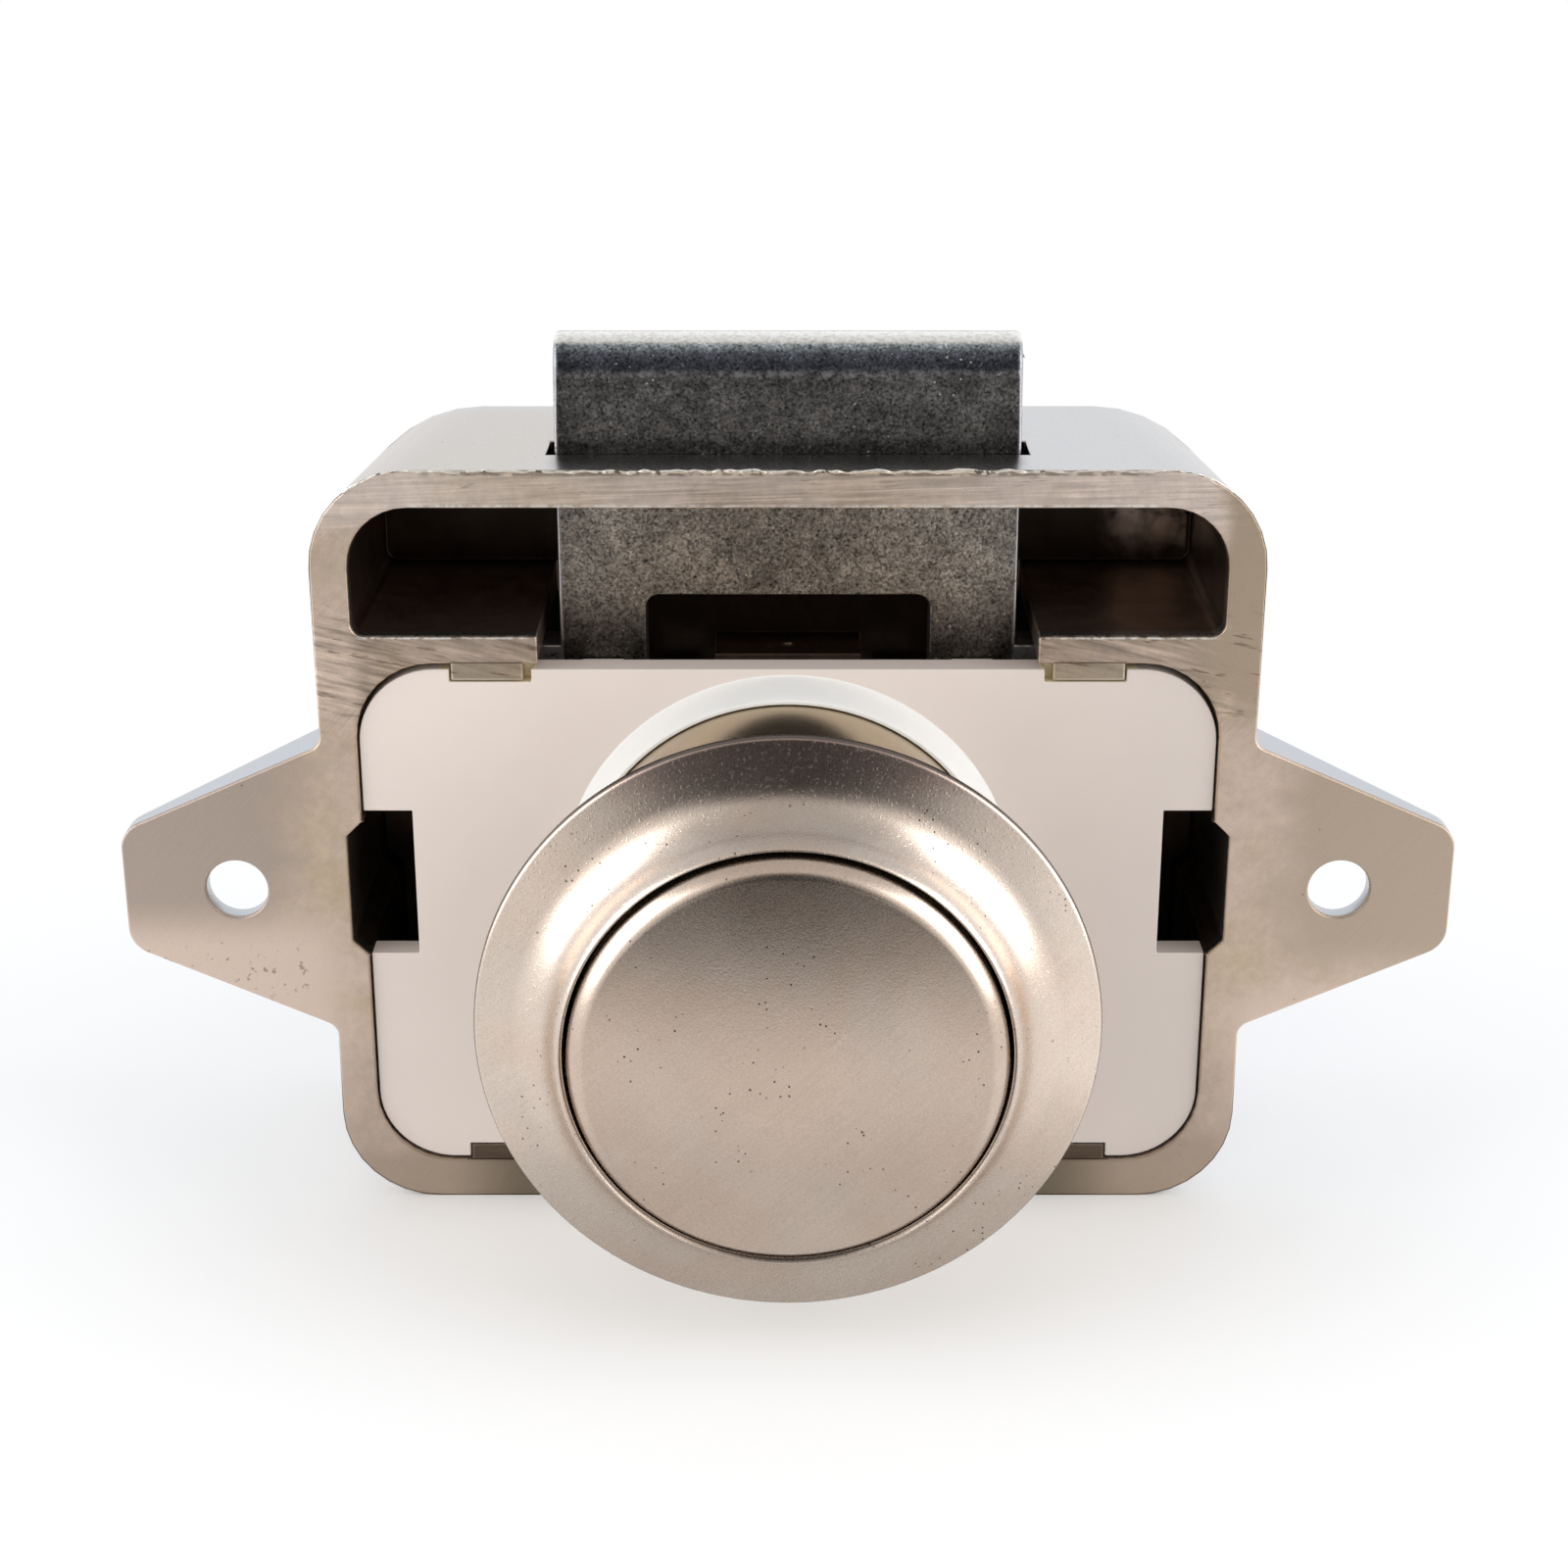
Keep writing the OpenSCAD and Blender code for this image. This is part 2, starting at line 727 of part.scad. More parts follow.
// Keel that carries the ramp on below the block
module keel() {
    y0 = bolt_y0 + (block_h / 2 - ramp_drop) / ramp_slope - 1;
    along_x(tongue_w)
        polygon([
            [y0, ramp_z(y0)], [block_y1, ramp_z(block_y1)], [block_y1, 0], [y0, 0]
        ]);
}

module plunger() {
    stop_y = plate_y1 + travel + ramp_gap;
    color(white_plastic)
        difference() {
            union() {
                along_y(0, block_y1) block_outline(0);
                cyl_y(neck_d / 2, face_in, cut);
                both_sides()
                    along_y(stop_y, block_y1)
                        rect(block_w / 2 - stop_w, block_w / 2 - run_gap, 0, block_h / 2 + stop_h);
                keel();
            }
            ramp_cut();
            heart_track();
            cyl_y(stud_d / 2 + shank_gap, face_in - cut, stud_end);
            cyl_y(screw_d / 2 + shank_gap, stud_end - cut, washer_seat + cut);
            cyl_y(bore_r, washer_seat, block_y1 + cut);
        }
}

// Half section of the button: crowned face, round edge, skirt and stud
module button_section() {
    rear = face_y + skirt_l;
    difference() {
        intersection() {
            rect(0, button_r, face_y, rear);
            translate([0, face_y + crown_r]) circle(crown_r, $fn = 1440);
        }
        translate([button_r, face_y + button_crown]) edge_round(button_edge_r);
        rect(stud_d / 2, skirt_in, face_in, rear + cut);
        rect(-cut, stud_d / 2 + cut, stud_end, rear + cut);
    }
}

module push_button() {
    color(nickel)
        difference() {
            round_y() button_section();
            cyl_y(screw_d / 2, washer_seat + washer_t - screw_l, stud_end + cut);
        }
}

module button_screw() {
    head_y = washer_seat + washer_t;
    color(steel)
        difference() {
            union() {
                cyl_y(screw_d / 2, head_y - screw_l, head_y + cut);
                cyl_y(head_d / 2, head_y, head_y + head_h);
            }
            along_y(head_y + head_h * 0.45, head_y + head_h + cut) {
                square([head_d * 0.6, 0.8], center = true);
                square([0.8, head_d * 0.6], center = true);
            }
        }
}

module button_washer() {
    color(steel)
        difference() {
            cyl_y(washer_d / 2, washer_seat, washer_seat + washer_t);
            cyl_y(screw_d / 2 + shank_gap, washer_seat - cut, washer_seat + washer_t + cut);
        }
}

// Springs: one tube wound with open ends that lie flat

// Height of the wire's middle after t turns, slower in the first and last turn
function coil_z(t, turns, l, d) =
    let (flat = d + end_rise, rise = (l - d - 2 * flat) / (turns - 2))
    t < 1 ? flat * t : t > turns - 1 ? l - d - flat * (turns - t) : flat + rise * (t - 1);

function coil_point(i, turns, r, l, d) =
    let (t = i / rings)
    [r * cos(360 * t), r * sin(360 * t), d / 2 + coil_z(t, turns, l, d)];

function coil_path(turns, r, l, d) =
    [for (i = [0:turns * rings]) coil_point(i, turns, r, l, d)];

// Least gap between the wire and itself, over points half a turn or more apart
function least_gap(p, d) =
    min([for (i = [0:len(p) - 1]) for (j = [i + rings / 2:1:len(p) - 1]) norm(p[i] - p[j])]) - d;

// One ring of the tube, across the wire
function coil_ring(p, i, d) =
    let (
        n = len(p),
        along = p[min(i + 1, n - 1)] - p[max(i - 1, 0)],
        ahead = along / norm(along),
        out = [p[i].x, p[i].y, 0] / norm([p[i].x, p[i].y]),
        up = cross(ahead, out)
    )
    [for (k = [0:sides - 1]) p[i] + d / 2 * (cos(360 * k / sides) * out + sin(360 * k / sides) * up)];

module spring(name, turns, r, l, d) {
    p = coil_path(turns, r, l, d);
    n = len(p);
    points = [for (i = [0:n - 1]) each coil_ring(p, i, d)];
    walls = [
        for (i = [0:n - 2]) for (k = [0:sides - 1])
            let (a = i * sides + k, b = i * sides + (k + 1) % sides)
            each [[a, a + sides, b + sides], [a, b + sides, b]]
    ];
    start = [for (k = [1:sides - 2]) [0, k, k + 1]];
    last = (n - 1) * sides;
    end = [for (k = [1:sides - 2]) [last, last + k + 1, last + k]];
    echo(str(name, " least gap between coils, mm: ", least_gap(p, d)));
    polyhedron(points, concat(walls, start, end));
}

module button_spring() {
    color(steel)
        translate([0, seat_y - ledge_h, 0])
            rotate([90, 0, 0])
                spring("button spring", button_coils, button_coil_r, seat_y - ledge_h - face_in,
                       button_wire_d);
}

module bolt_spring() {
    foot = floor_z(bolt_spring_y + bolt_coil_d / 2);
    translate([0, bolt_spring_y, foot])
        spring("bolt spring", bolt_coils, (bolt_coil_d - bolt_wire_d) / 2, wing_base - foot, bolt_wire_d);
}

module bolt_spring_left() {
    color(steel) translate([-bolt_spring_pitch / 2, 0, 0]) bolt_spring();
}

module bolt_spring_right() {
    color(steel) translate([bolt_spring_pitch / 2, 0, 0]) bolt_spring();
}

// Quarter bend of the follower's wire: low end along Y, far end upright
module wire_corner() {
    rotate([0, 90, 0])
        rotate_extrude(angle = 90, $fn = fine)
            translate([follower_bend_r, 0]) circle(d = follower_d, $fn = 24);
}

// Straight length of the follower's wire, upright
module wire_leg(y, z0, z1) {
    translate([0, y, z0]) cylinder(d = follower_d, h = z1 - z0, $fn = 24);
}

// Follower: a bent spring wire, from the boss to the notch of the track
module cam_follower() {
    r = follower_bend_r;
    tip_z = block_h / 2 - track_depth + tip_gap;
    color(steel) {
        wire_leg(notch_y, tip_z, follower_z - r);
        translate([0, notch_y + r, follower_z - r]) rotate([180, 0, 0]) wire_corner();
        translate([0, 0, follower_z]) cyl_y(follower_d / 2, notch_y + r, follower_pivot_y - r);
        translate([0, follower_pivot_y - r, follower_z + r]) wire_corner();
        wire_leg(follower_pivot_y, follower_z + r, boss_z0 + boss_t - tip_gap);
    }
}

// Rosette: thin brim, hollow cove and a raised lip round the button

module rosette() {
    rim_r = rosette_d / 2;
    brim_y = rosette_back - brim_t;
    cove_r = rosette_h - brim_t - brim_rise;
    cove_x = lip_out + cove_r;
    color(nickel)
        round_y()
            difference() {
                rect(lip_in, rim_r, lip_y, rosette_back);
                translate([cove_x, lip_y]) circle(cove_r, $fn = smooth);
                polygon([
                    [cove_x, lip_y - cut], [cove_x, lip_y + cove_r], [rim_r + cut, brim_y],
                    [rim_r + cut, lip_y - cut]
                ]);
                translate([rim_r, brim_y]) edge_round(brim_t * 0.7);
                rect(lip_in - cut, sleeve_out + seat_gap, lip_under, rosette_back + cut);
            }
}

module rosette_sleeve() {
    color(nickel)
        round_y()
            rect(sleeve_in, sleeve_out, sleeve_front, seat_y - seat_gap);
}

lock_case();
mechanism_plate();
bolt();
plunger();
push_button();
button_screw();
button_washer();
button_spring();
bolt_spring_left();
bolt_spring_right();
cam_follower();
rosette();
rosette_sleeve();
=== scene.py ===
import math

import bmesh
import bpy
from bpy.props import FloatProperty, FloatVectorProperty, IntProperty, PointerProperty
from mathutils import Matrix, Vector, noise


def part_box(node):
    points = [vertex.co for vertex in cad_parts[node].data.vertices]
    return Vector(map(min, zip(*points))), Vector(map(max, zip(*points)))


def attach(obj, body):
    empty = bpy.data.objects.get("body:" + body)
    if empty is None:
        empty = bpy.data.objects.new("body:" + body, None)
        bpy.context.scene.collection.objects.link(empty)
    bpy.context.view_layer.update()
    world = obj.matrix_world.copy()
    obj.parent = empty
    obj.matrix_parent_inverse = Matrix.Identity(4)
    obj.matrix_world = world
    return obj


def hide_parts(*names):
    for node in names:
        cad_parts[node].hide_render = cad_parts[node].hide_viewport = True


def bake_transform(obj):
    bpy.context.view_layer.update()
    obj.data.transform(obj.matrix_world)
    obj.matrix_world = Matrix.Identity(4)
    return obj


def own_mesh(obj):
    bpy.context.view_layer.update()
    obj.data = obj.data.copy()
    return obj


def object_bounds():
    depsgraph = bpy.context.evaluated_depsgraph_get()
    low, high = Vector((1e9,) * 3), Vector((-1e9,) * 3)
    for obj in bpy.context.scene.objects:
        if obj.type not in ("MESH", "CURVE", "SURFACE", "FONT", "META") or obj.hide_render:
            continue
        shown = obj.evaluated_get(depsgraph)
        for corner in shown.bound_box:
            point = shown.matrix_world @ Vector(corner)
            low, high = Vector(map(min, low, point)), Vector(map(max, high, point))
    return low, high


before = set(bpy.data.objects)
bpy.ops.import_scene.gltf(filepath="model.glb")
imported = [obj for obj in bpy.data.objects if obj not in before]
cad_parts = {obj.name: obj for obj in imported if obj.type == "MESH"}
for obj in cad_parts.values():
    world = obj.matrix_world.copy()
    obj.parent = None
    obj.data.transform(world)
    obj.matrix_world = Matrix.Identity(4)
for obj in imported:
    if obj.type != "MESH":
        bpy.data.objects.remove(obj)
CAD_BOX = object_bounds()

bl_info = {
    "name": "Push button cabinet lock",
    "version": (1, 0, 0),
    "blender": (4, 5, 0),
    "location": "View3D > Sidebar > Lock",
    "description": "Dresses a push button cabinet lock with its finishes, soft edges and studio",
    "category": "Object",
}

MM = 0.001
BODY_OF_CASE = "case"
BODY_OF_BUTTON = "button"
BODY_OF_BOLT = "bolt"

# Sizes of the case and the bolt by which a finish or the burr is placed, in millimetres
CASE_HALF, CASE_TOP, CASE_BASE, CASE_CORNER = 26.65, 25.0, -20.2, 5.6
BAR_UNDER = 23.0  # underside of the top bar
SHELF_TOP, SHELF_UNDER = 15.4, 13.85
SILL = -17.8  # inner face of the bottom wall
LUG_X = 17.0  # middle of a lug
COLLAR_R = 13.1
SLOT_HALF = 13.8  # half the length of the bolt's slot
BOLT_HALF = 13.0
SHARP = math.radians(35)  # an edge that turns by more is rounded
FLAT = math.radians(0.4)  # faces that turn by less become one


# Sizes and colours that a user would change

def length(name, description, default):
    """A length in metres, written here in millimetres."""
    return FloatProperty(name=name, description=description, default=default * MM, min=0.0,
                         precision=5, unit="LENGTH")


def colour(name, description, default):
    return FloatVectorProperty(name=name, description=description, default=default, size=3,
                               min=0.0, max=1.0, subtype="COLOR")


def factor(name, description, default):
    return FloatProperty(name=name, description=description, default=default, min=0.0, max=1.0,
                         subtype="FACTOR")


class LockShapeSettings(bpy.types.PropertyGroup):
    """Fine shape that the construction leaves to the looks"""
    case_edge: length("Case edge", "Radius on the sharp edges of the case", 0.12)
    plate_edge: length("Plate edge", "Radius on the edges of the moulded plate", 0.075)
    bolt_edge: length("Bolt edge", "Radius on the edges of the bolt", 0.12)
    nose_end: length("Nose end", "Radius at both ends of the bolt's nose", 0.35)
    plunger_edge: length("Plunger edge", "Radius on the edges of the plunger", 0.075)
    screw_edge: length("Screw edge", "Radius on the edges of screw and washer", 0.06)
    follower_edge: length("Follower edge", "Radius on the edges of the follower", 0.05)
    burr: length("Burr", "Largest radius of the burr on the case's top front edge", 0.14)
    turn_segments: IntProperty(name="Turned segments", default=256, min=64,
                               description="Segments round a turned piece")
    wire_segments: IntProperty(name="Wire segments", default=14, min=6,
                               description="Segments round a spring's wire")


class LockFinishSettings(bpy.types.PropertyGroup):
    """Colours and roughness of the finishes"""
    case_colour: colour("Case", "Satin nickel on the case", (0.62, 0.56, 0.505))
    rim_colour: colour("Ground rim", "Ground face of the rim and ears", (0.66, 0.535, 0.445))
    burr_colour: colour("Burr", "Bright burr that the grinding left", (0.95, 0.90, 0.82))
    # Partly the dull metal's own colour and partly painted shade of the pockets
    inside_dull_and_shade: colour("Case inside", "Dull metal inside the case", (0.13, 0.095, 0.075))
    button_colour: colour("Button", "Satin nickel on the button", (0.63, 0.52, 0.44))
    rosette_colour: colour("Rosette", "Satin nickel on the rosette", (0.68, 0.582, 0.505))
    sleeve_colour: colour("Sleeve", "Bright nickel on the sleeve", (0.50, 0.40, 0.27))
    bolt_colour: colour("Bolt", "Cast zinc of the bolt", (0.165, 0.158, 0.152))
    plate_colour: colour("Plate", "Ivory plastic of the plate", (0.69, 0.615, 0.57))
    # The collar's lighter colour is painted light from above; the collar is the plate's own plastic
    lit_collar_colour: colour("Collar", "Lighter plastic of the collar", (0.77, 0.77, 0.76))
    plunger_colour: colour("Plunger", "White plastic of the plunger", (0.72, 0.73, 0.72))
    spring_colour: colour("Spring wire", "Drawn wire of the springs", (0.34, 0.34, 0.35))
    screw_colour: colour("Screw", "Zinc plate on screw and washer", (0.55, 0.56, 0.58))
    satin: factor("Satin roughness", "Roughness of the satin nickel", 0.30)


class LockStudioSettings(bpy.types.PropertyGroup):
    """Camera and floor"""
    camera_place: FloatVectorProperty(name="Camera place", description="Where the camera stands",
                                      default=(0.0, -0.1506, 0.0656), unit="LENGTH")
    camera_tilt: FloatProperty(name="Camera tilt", description="Camera's turn about X", unit="ROTATION",
                               default=math.radians(68.6))
    camera_lens: FloatProperty(name="Lens", description="Focal length in millimetres", default=64.9)
    camera_shift: FloatProperty(name="Shift", description="Sideways shift of the frame",
                                default=-0.0025)
    floor_colour: colour("Floor", "Pale floor", (0.96, 0.975, 0.99))
    floor_half: length("Floor half width", "Half the width of the floor", 3000.0)


# Shader helpers

class Nodes:
    """Adds nodes to one node tree and joins them."""

    def __init__(self, tree):
        self.tree = tree

    def add(self, kind, values=None, **settings):
        node = self.tree.nodes.new(kind)
        for name, value in settings.items():
            setattr(node, name, value)
        for key, value in (values or {}).items():
            self.put(node.inputs[key], value)
        return node

    def put(self, socket, value):
        if isinstance(value, bpy.types.NodeSocket):
            self.tree.links.new(value, socket)
        elif socket.type == "RGBA":
            socket.default_value = (*value, 1.0)
        else:
            socket.default_value = value

    def math(self, operation, a, b=0.0, clamp=False):
        node = self.add("ShaderNodeMath", {0: a, 1: b}, operation=operation, use_clamp=clamp)
        return node.outputs[0]

    def times(self, *values):
        """The product of numbers."""
        result = values[0]
        for value in values[1:]:
            result = self.math("MULTIPLY", result, value)
        return result

    def plus(self, a, b):
        return self.math("ADD", a, b)

    def minus(self, a, b):
        return self.math("SUBTRACT", a, b)

    def most(self, a, b):
        """The larger of two numbers."""
        return self.math("MAXIMUM", a, b)

    def size(self, value):
        """A number without its sign."""
        return self.math("ABSOLUTE", value)

    def away(self, a, b):
        """Distance from the origin of a point at a and b."""
        return self.math("SQRT", self.plus(self.times(a, a), self.times(b, b)))

    def ramp(self, value, low, high, to_low=0.0, to_high=1.0):
        """Smooth step of value between low and high."""
        node = self.add("ShaderNodeMapRange", {"Value": value, "From Min": low, "From Max": high,
                                               "To Min": to_low, "To Max": to_high},
                        interpolation_type="SMOOTHSTEP")
        return node.outputs["Result"]

    def fall(self, value, low, high):
        """1 below low and 0 above high."""
        return self.ramp(value, low, high, 1.0, 0.0)

    def band(self, value, start, low, high, end):
        """1 from low to high, and 0 before start and after end."""
        return self.times(self.ramp(value, start, low), self.fall(value, high, end))

    def all_of(self, *masks):
        """Where every one of several masks is 1."""
        return self.times(*masks)

    def mix(self, mask, a, b):
        """Colour a where mask is 0 and b where it is 1."""
        node = self.add("ShaderNodeMix", data_type="RGBA")
        self.put(node.inputs[0], mask)
        self.put(node.inputs[6], a)
        self.put(node.inputs[7], b)
        return node.outputs[2]

    def scaled(self, value, amount, base=1.0):
        """base + (value - 0.5) * amount, for a value round a half."""
        node = self.add("ShaderNodeMath", {0: value, 1: amount, 2: base - amount / 2},
                        operation="MULTIPLY_ADD")
        return node.outputs[0]

    def swing(self, value, amount):
        """1 + (value - 0.5) * amount, where amount is a socket too."""
        node = self.add("ShaderNodeMath", {0: self.minus(value, 0.5), 1: amount, 2: 1.0},
                        operation="MULTIPLY_ADD")
        return node.outputs[0]

    def blend(self, mask, a, b):
        """Number a where mask is 0 and b where it is 1."""
        return self.add("ShaderNodeMix", {0: mask, 2: a, 3: b}).outputs[0]

    def tint(self, shade, *factors):
        """shade multiplied by one or more grey factors."""
        for value in factors:
            node = self.add("ShaderNodeVectorMath", {0: shade}, operation="SCALE")
            self.put(node.inputs["Scale"], value)
            shade = node.outputs[0]
        return shade

    def point(self):
        """The point on the object, in metres."""
        return self.add("ShaderNodeTexCoord").outputs["Object"]

    def axes(self, point=None):
        """X, Y and Z in millimetres, of the point on the object or of another one."""
        point = self.point() if point is None else point
        node = self.add("ShaderNodeSeparateXYZ", {0: self.tint(point, 1.0 / MM)})
        return node.outputs[0], node.outputs[1], node.outputs[2]

    def effect(self, name, **values):
        """One shared effect with its own values; returns its only output."""
        if name not in GROUPS:
            GROUPS[name] = GROUP_MAKERS[name]()
        node = self.add("ShaderNodeGroup")
        node.node_tree = GROUPS[name]
        for key, value in values.items():
            self.put(node.inputs[key.replace("_", " ")], value)
        return node.outputs[0]

    def grain(self, size, detail):
        return self.effect("grain", Size_mm=size, Detail=detail)

    def clouds(self, size, seed):
        return self.effect("clouds", Size_mm=size, Seed=seed)

    def pits(self, spacing, radius, share, cluster=1.0):
        return self.effect("pits", Spacing_mm=spacing, Radius=radius, Share=share, Cluster=cluster)

    def strokes(self, angle, along, across):
        return self.effect("strokes", Angle=angle, Length_mm=along, Width_mm=across)


def new_group(name, inputs, outputs):
    """A shader node group with number inputs and outputs, and its Nodes helper."""
    tree = bpy.data.node_groups.new(name, "ShaderNodeTree")
    for label, default in inputs:
        socket = tree.interface.new_socket(label, in_out="INPUT", socket_type="NodeSocketFloat")
        socket.default_value = default
    for label in outputs:
        tree.interface.new_socket(label, in_out="OUTPUT", socket_type="NodeSocketFloat")
    nodes = Nodes(tree)
    start = nodes.add("NodeGroupInput")
    end = nodes.add("NodeGroupOutput")
    return tree, nodes, start.outputs, end.inputs


def grain_group():
    """Fine even grain, with its size in millimetres."""
    tree, n, given, result = new_group("fine_grain", [("Size mm", 0.1), ("Detail", 3.0)], ["Grain"])
    scale = n.math("DIVIDE", 1.0 / MM, given["Size mm"])
    texture = n.add("ShaderNodeTexNoise", {"Vector": n.point(), "Scale": scale, "Detail": given["Detail"],
                                           "Roughness": 0.6})
    n.put(result["Grain"], texture.outputs[0])
    return tree


def clouds_group():
    """Soft large clouds, with their size in millimetres."""
    tree, n, given, result = new_group("soft_clouds", [("Size mm", 5.0), ("Seed", 0.0)], ["Clouds"])
    offset = n.add("ShaderNodeCombineXYZ", {0: given["Seed"], 1: given["Seed"], 2: given["Seed"]})
    shifted = n.add("ShaderNodeVectorMath", {0: n.point(), 1: offset.outputs[0]}, operation="ADD")
    scale = n.math("DIVIDE", 1.0 / MM, given["Size mm"])
    texture = n.add("ShaderNodeTexNoise", {"Vector": shifted.outputs[0], "Scale": scale, "Detail": 4.0,
                                           "Roughness": 0.55, "Distortion": 0.4})
    n.put(result["Clouds"], texture.outputs[0])
    return tree


def pits_group():
    """Small scattered dots, such as casting pits or bright grains, drawn together in clusters."""
    tree, n, given, result = new_group(
        "scattered_pits", [("Spacing mm", 0.8), ("Radius", 0.12), ("Share", 0.5), ("Cluster", 1.0)],
        ["Pits"])
    point = n.point()
    scale = n.math("DIVIDE", 1.0 / MM, given["Spacing mm"])
    cells = n.add("ShaderNodeTexVoronoi", {"Vector": point, "Scale": scale}, feature="F1")
    near = n.minus(given["Radius"], cells.outputs["Distance"])
    dots = n.math("MULTIPLY", near, 14.0, clamp=True)
    pick = n.add("ShaderNodeSeparateColor", {0: cells.outputs["Color"]})
    chosen = n.math("LESS_THAN", pick.outputs[0], given["Share"])
    cluster = n.add("ShaderNodeTexNoise", {"Vector": point, "Scale": 0.28 / MM, "Detail": 2.0})
    where = n.ramp(cluster.outputs[0], 0.52, 0.60, 0.03, 1.0)
    where = n.most(where, n.minus(1.0, given["Cluster"]))
    n.put(result["Pits"], n.times(dots, chosen, where))
    return tree


def strokes_group():
    """Fine parallel strokes in the plane of the case's face, turned by an angle."""
    tree, n, given, result = new_group(
        "grinding_strokes", [("Angle", 0.0), ("Length mm", 6.0), ("Width mm", 0.08)], ["Strokes"])
    turned = n.add("ShaderNodeVectorRotate", {"Vector": n.point(), "Angle": given["Angle"]},
                   rotation_type="Y_AXIS")
    x, y, z = n.axes(turned.outputs[0])
    stretched = n.add("ShaderNodeCombineXYZ", {0: n.math("DIVIDE", x, given["Length mm"]),
                                               1: n.math("DIVIDE", y, given["Length mm"]),
                                               2: n.math("DIVIDE", z, given["Width mm"])})
    texture = n.add("ShaderNodeTexNoise", {"Vector": stretched.outputs[0], "Scale": 1.0, "Detail": 3.0,
                                           "Roughness": 0.65})
    n.put(result["Strokes"], texture.outputs[0])
    return tree


GROUPS = {}
GROUP_MAKERS = {"grain": grain_group, "clouds": clouds_group, "pits": pits_group,
                "strokes": strokes_group}


def bare_material(name):
    """A material without a surface yet, its Nodes helper and its output."""
    material = bpy.data.materials.new(name)
    material.use_nodes = True
    material.node_tree.nodes.clear()
    n = Nodes(material.node_tree)
    return material, n, n.add("ShaderNodeOutputMaterial").inputs[0]


def new_material(name, shade, metallic, rough, height, strength, distance, specular=0.5):
    """A material from three functions, which give colour, roughness and height as sockets."""
    material, n, surface = bare_material(name)
    bump = n.add("ShaderNodeBump", {"Height": height(n), "Strength": strength, "Distance": distance * MM})
    shader = n.add("ShaderNodeBsdfPrincipled", {
        "Base Color": shade(n), "Metallic": metallic, "Roughness": rough(n),
        "Specular IOR Level": specular, "Normal": bump.outputs[0]})
    n.put(surface, shader.outputs[0])
    return material


# Finishes

def colour_times(shade, factors):
    """A colour with each channel multiplied by its own factor."""
    return tuple(a * b for a, b in zip(shade, factors))


def satin_nickel(name, base, roughness, rim=None):
    """Blasted and nickel-plated metal: even grain, faint brushing, a little cloud and dark pits.

    A rim radius, in millimetres, adds light and shade painted by place: painted shade low down, a painted
    dark reflection on the top, painted shade above the lip, a painted highlight on the right and a painted
    dark reflection at the cut edge."""
    def pits(n):
        return n.most(n.pits(0.38, 0.19, 0.45), n.pits(1.1, 0.10, 0.5))

    def shade(n):
        clouds = n.scaled(n.clouds(5.0, 0.02), 0.20)
        grain = n.scaled(n.grain(0.10, 2.0), 0.42)
        brushed = n.scaled(n.strokes(0.75, 5.0, 0.16), 0.16)
        warm = n.mix(n.ramp(n.clouds(7.0, 0.31), 0.40, 0.66), base, colour_times(base, (1.0, 0.955, 0.92)))
        metal = n.tint(warm, clouds, grain, brushed)
        metal = n.mix(n.times(pits(n), 0.9), metal, (0.08, 0.06, 0.05))
        if rim:
            x, _, z = n.axes()
            # Painted shade, darker towards the foot
            metal = n.tint(metal, n.ramp(z, -16.0, -5.0, 0.80, 1.0))
            # Painted dark reflection on the top, browner and darker
            metal = n.mix(n.ramp(z, 12.5, 15.0, 0.0, 0.45), metal, (0.30, 0.17, 0.17))
            metal = n.tint(metal, n.ramp(z, 12.5, 15.0, 1.0, 0.87))
            # Painted shade on the brim just above the lip
            lip_shade = n.all_of(n.ramp(z, 11.2, 12.2), n.fall(n.size(x), 4.0, 9.0))
            metal = n.tint(metal, n.ramp(lip_shade, 0.0, 1.0, 1.0, 0.85))
            # Painted highlight on the right side
            right = n.all_of(n.ramp(x, 11.0, 16.0), n.ramp(z, -7.0, -1.0))
            metal = n.tint(metal, n.ramp(right, 0.0, 1.0, 1.0, 1.2))
            # Painted dark reflection along the brim's outer edge
            dark_edge_reflection = n.ramp(n.away(x, z), rim - 0.12, rim - 0.03, 0.0, 0.85)
            metal = n.mix(dark_edge_reflection, metal, (0.12, 0.095, 0.08))
        return metal

    def rough(n):
        grain = n.scaled(n.grain(0.09, 2.0), 0.12, roughness)
        return n.plus(grain, n.scaled(n.clouds(4.0, 0.05), 0.06, 0.0))

    def height(n):
        grain = n.grain(0.13, 3.0)
        if rim:
            grain = n.plus(grain, n.ramp(n.grain(0.16, 1.0), 0.62, 0.74, 0.0, 2.0))
        return n.minus(grain, pits(n))

    return new_material(name, shade, 1.0, rough, height, strength=0.18, distance=0.03)


